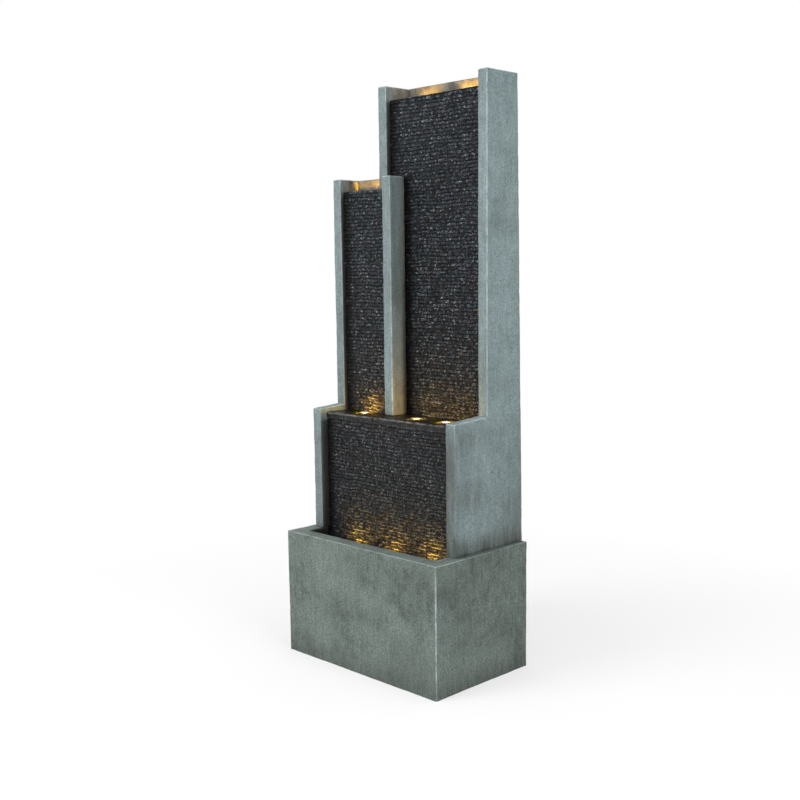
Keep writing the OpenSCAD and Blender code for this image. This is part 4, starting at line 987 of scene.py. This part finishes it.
def add_stopper():
    """The drain plug: a grooved bung, a ribbed flange and a rounded grip."""
    low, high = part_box("drain_plug")
    grip_out, grip_reach, grip_half = 7 * MM, 9 * MM, 2 * MM
    flange = (high.x - low.x) / 2
    bung = flange - 6.1 * MM
    face = high.y - low.y - grip_out
    profile = [(0, 0), (bung * 0.9, 0), (bung, 1.5 * MM)]
    groove = 4 * MM
    while groove < face - 8 * MM:
        profile += [
            (bung, groove), (bung * 0.93, groove + 0.8 * MM), (bung * 0.93, groove + 1.6 * MM),
            (bung, groove + 2.4 * MM),
        ]
        groove += 5 * MM
    back = face - 3.7 * MM
    profile += [
        (bung, back), (flange * 0.96, back), (flange, back + 0.8 * MM), (flange, face - 0.9 * MM),
        (flange * 0.95, face), (flange * 0.75, face), (flange * 0.7, face - 0.6 * MM), (0, face - 0.6 * MM),
    ]
    foot = Vector(((low.x + high.x) / 2, low.y, (low.z + high.z) / 2))
    grip_low = foot + Vector((-grip_reach, face - 1 * MM, -grip_half))
    grip_high = Vector((foot.x + grip_reach, high.y, foot.z + grip_half))
    bm = bmesh.new()
    add_turned(bm, profile, foot, REARWARD, steps=96, flutes=40, depth=0.035)
    add_rounded_block(bm, grip_low, grip_high, 0.9 * MM)
    finish_turned(bm, "drain_stopper", "drain_plug")


def soften(cad_name, piece_name, radius):
    """A moulded piece with its outer edges rounded."""
    bm = merged_copy(cad_name)
    round_edges(bm, radius, shortest=SHORT_ARRIS, segments=2)
    for e in bm.edges:
        e.smooth = e.calc_face_angle(0) < MOULDED_CREASE
    hand_in(piece_name, bm, cad_name)


# Lamps: their light shines from small sources of their own, over the lenses
GLOW_COLOUR = (1.0, 0.56, 0.06)
GLOW_RADIUS = 5 * MM
GLOW_BLEND = 0.5
BASIN_CONE, TROUGH_CONE = 118, 104
LEDGE_GLOW = 0.42
BASIN_GLOWS = (0.62, 0.75, 0.72)
TROUGH_GLOWS = {"short_trough_lamp_lenses": (0.9, 2.3), "tall_trough_lamp_lenses": (1.0, 1.2)}
BASIN_AIM, TROUGH_AIM = (0, 0.8, 0.6), (0, 0.45, 0.9)


def add_lamp_glow(name, at, power, aim=None, cone=None):
    """A small amber light: with an aim it is a spot, and without one it shines all round, unmirrored."""
    data = bpy.data.lights.new(name, "SPOT" if aim else "POINT")
    data.energy = power
    data.color = GLOW_COLOUR
    data.shadow_soft_size = GLOW_RADIUS
    lamp = add_object(name, data)
    lamp.location = at
    lamp.visible_camera = False
    lamp.visible_glossy = bool(aim)
    if aim:
        data.spot_size = math.radians(cone)
        data.spot_blend = GLOW_BLEND
        lamp.rotation_euler = Vector(aim).to_track_quat("-Z", "Y").to_euler()


def light_the_lamps():
    for i, ledge, basin, power in zip(LAMP_NUMBERS, LEDGE_LAMPS, BASIN_LAMPS, BASIN_GLOWS):
        ledge_lens_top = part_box(f"ledge_lamp_{i}_lens")[1].z
        basin_lens_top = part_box(f"basin_lamp_{i}_lens")[1].z
        over_ledge = (ledge.x, ledge.y, ledge_lens_top + 15 * MM)
        over_basin = (basin.x, basin.y + 6 * MM, basin_lens_top + 8 * MM)
        add_lamp_glow(f"ledge_glow_{i}", over_ledge, LEDGE_GLOW)
        add_lamp_glow(f"basin_glow_{i}", over_basin, power, BASIN_AIM, BASIN_CONE)
    for lenses, powers in TROUGH_GLOWS.items():
        low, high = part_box(lenses)
        radius = (high.y - low.y) / 2
        for i, x in enumerate((low.x + radius, high.x - radius)):
            at = (x, high.y + 2 * MM, high.z + 24 * MM)
            add_lamp_glow(f"{lenses}_glow_{i + 1}", at, powers[i], TROUGH_AIM, TROUGH_CONE)


# Stage: a white floor that fades into a white room, and three soft lights
FLOOR_WHITE = (0.94, 0.94, 0.94)
FLOOR_SHARE_NEAR, FLOOR_FADE_FROM, FLOOR_FADE_TO = 0.55, 0.7, 1.9
ROOM_LIGHT = 0.5
SOFT_LIGHTS = (
    ("key", (-1.6, -4.2, 3.2), (0, 0, 0.9), 2.6, 150),
    ("fill", (4.6, -0.6, 2.4), (0, 0, 0.9), 2.4, 70),
    ("top", (0.4, 0.2, 4.6), (0, 0, 0.5), 2.2, 50),
)


def add_soft_light(name, at, towards, side, power):
    data = bpy.data.lights.new(name, "AREA")
    data.shape = "RECTANGLE"
    data.size = data.size_y = side
    data.energy = power
    lamp = add_object(name, data)
    lamp.location = at
    lamp.rotation_euler = (Vector(towards) - Vector(at)).to_track_quat("-Z", "Y").to_euler()


def seen_directly(tree):
    """1 for rays from the camera, and for those that metal or glass sends on."""
    path = node(tree, "ShaderNodeLightPath")
    seen = plus(tree, path.outputs["Is Camera Ray"], path.outputs["Is Glossy Ray"])
    return spread(tree, plus(tree, seen, path.outputs["Is Transmission Ray"]), 0, 1)


def fade_to_white(tree, shader):
    """Lets the floor go to plain white away from the object, and keeps the object's shadow near it."""
    away = node(tree, "ShaderNodeVectorMath", {0: place(tree)}, operation="LENGTH").outputs["Value"]
    fade = spread(tree, away, FLOOR_FADE_FROM, FLOOR_FADE_TO, FLOOR_SHARE_NEAR, 1.0)
    white = node(tree, "ShaderNodeEmission", {"Color": (1, 1, 1, 1), "Strength": 1.0})
    mixed = node(tree, "ShaderNodeMixShader", {
        0: times(tree, seen_directly(tree), fade),
        1: shader.outputs["BSDF"],
        2: white.outputs["Emission"],
    })
    tree.links.new(mixed.outputs[0], tree.nodes["Material Output"].inputs["Surface"])


def add_room():
    world = bpy.data.worlds.new("studio")
    bpy.context.scene.world = world
    world.use_nodes = True
    tree = world.node_tree
    back = tree.nodes["Background"]
    back.inputs["Color"].default_value = (1, 1, 1, 1)
    strength = spread(tree, seen_directly(tree), 0, 1, ROOM_LIGHT, 1.0)
    tree.links.new(strength, back.inputs["Strength"])


def add_floor():
    bm = bmesh.new()
    bmesh.ops.create_grid(bm, x_segments=1, y_segments=1, size=14)
    floor = add_object("floor", mesh_of("floor", bm))
    floor.location.z = -0.5 * MM
    material, tree, shader = start_material("floor_white", FLOOR_WHITE, 0.9)
    shader.inputs["Specular IOR Level"].default_value = 0.0
    fade_to_white(tree, shader)
    floor.data.materials.append(material)


add_camera()
add_room()
add_floor()
for soft_light in SOFT_LIGHTS:
    add_soft_light(*soft_light)
dress_cad_nodes()

# Extra cuts, as pairs of axis and place, keep each change of the weathering and painted shade close to its
# edge
bay_cuts = [(1, bay.front + 3 * MM) for bay in BAYS]
bay_cuts += [(1, (bay.front + bay.face) / 2) for bay in BAYS]
bay_cuts += [(1, bay.face) for bay in BAYS]
rim_cuts = [(2, RIM_TOP - 8 * MM)]
for inset in (8 * MM, POOL_INSET - 6 * MM):
    rim_cuts += [(axis, BASIN_LOW[axis] + inset) for axis in (0, 1)]
    rim_cuts += [(axis, BASIN_HIGH[axis] - inset) for axis in (0, 1)]
ledge_cuts = [(2, LEDGE_TOP - i * 2 * MM) for i in range(1, 10)]
cast_piece(
    "basin", "basin_casting", radius=2.6 * MM, steps=(0.022, 0.022, 0.018), seed=1,
    damp_and_shade_rule=basin_damp_and_shade_at, stain_rule=basin_stain_at, slime_and_shade_rule=basin_slime_and_shade_at, extra_cuts=rim_cuts,
)
cast_piece(
    "tower_shell", "tower_casting", radius=3.6 * MM, steps=(0.03, 0.024, 0.014), seed=2,
    extra_cuts=bay_cuts, narrow_top=1.2 * MM,
)
cast_piece(
    "rear_panel", "rear_casting", radius=2 * MM, steps=(0.03, 0, 0.02), seed=6,
    broad=0.6 * MM, fine=0.4 * MM, chipped=0.8 * MM,
)
cast_piece(
    "access_door", "door_casting", radius=1.5 * MM, steps=(0.03, 0, 0.02), seed=7,
    broad=0.3 * MM, fine=0.2 * MM, chipped=0.4 * MM,
)
cast_piece(
    "divider_wall", "divider_casting", radius=4 * MM, steps=(0.014, 0.014, 0.012), seed=3,
    damp_and_shade_rule=divider_damp_and_shade_at, stain_rule=divider_stain_at, slime_and_shade_rule=divider_painted_shade_at,
)
cast_piece(
    "ledge_slab", "ledge_stone", radius=1.5 * MM, steps=(0.004, 0.012, 0), seed=4,
    broad=0.4 * MM, fine=0.25 * MM, chipped=0.3 * MM,
    extra_cuts=ledge_cuts, finish=LEDGE_FINISH, courses=LEDGE_PITCH,
)
rippled_panel("lower_panel", "lower_slate", 11, BASIN_LAMPS, reach=0.038, climb=0.2, strength=0.9)
rippled_panel("short_panel", "short_slate", 23, LEDGE_LAMPS[:1], reach=0.038, climb=0.11, strength=0.55)
rippled_panel("tall_panel", "tall_slate", 37, LEDGE_LAMPS[1:], reach=0.04, climb=0.1, strength=0.28)
light_the_lamps()
add_lenses()
add_thumb_screws()
add_stopper()
for cad_name, piece_name, radius in (
    ("short_trough", "short_tray", 0.8 * MM),
    ("tall_trough", "tall_tray", 0.8 * MM),
    ("lamp_junction", "junction_box", 1.5 * MM),
    ("tee_lever", "lever", 0.8 * MM),
    ("cable_grommet", "grommet", 0.8 * MM),
    ("pump_housing", "pump_motor_case", 1.2 * MM),
    ("panel_battens", "battens", 1 * MM),
):
    soften(cad_name, piece_name, radius)

bpy.context.scene.view_settings.view_transform = "Standard"
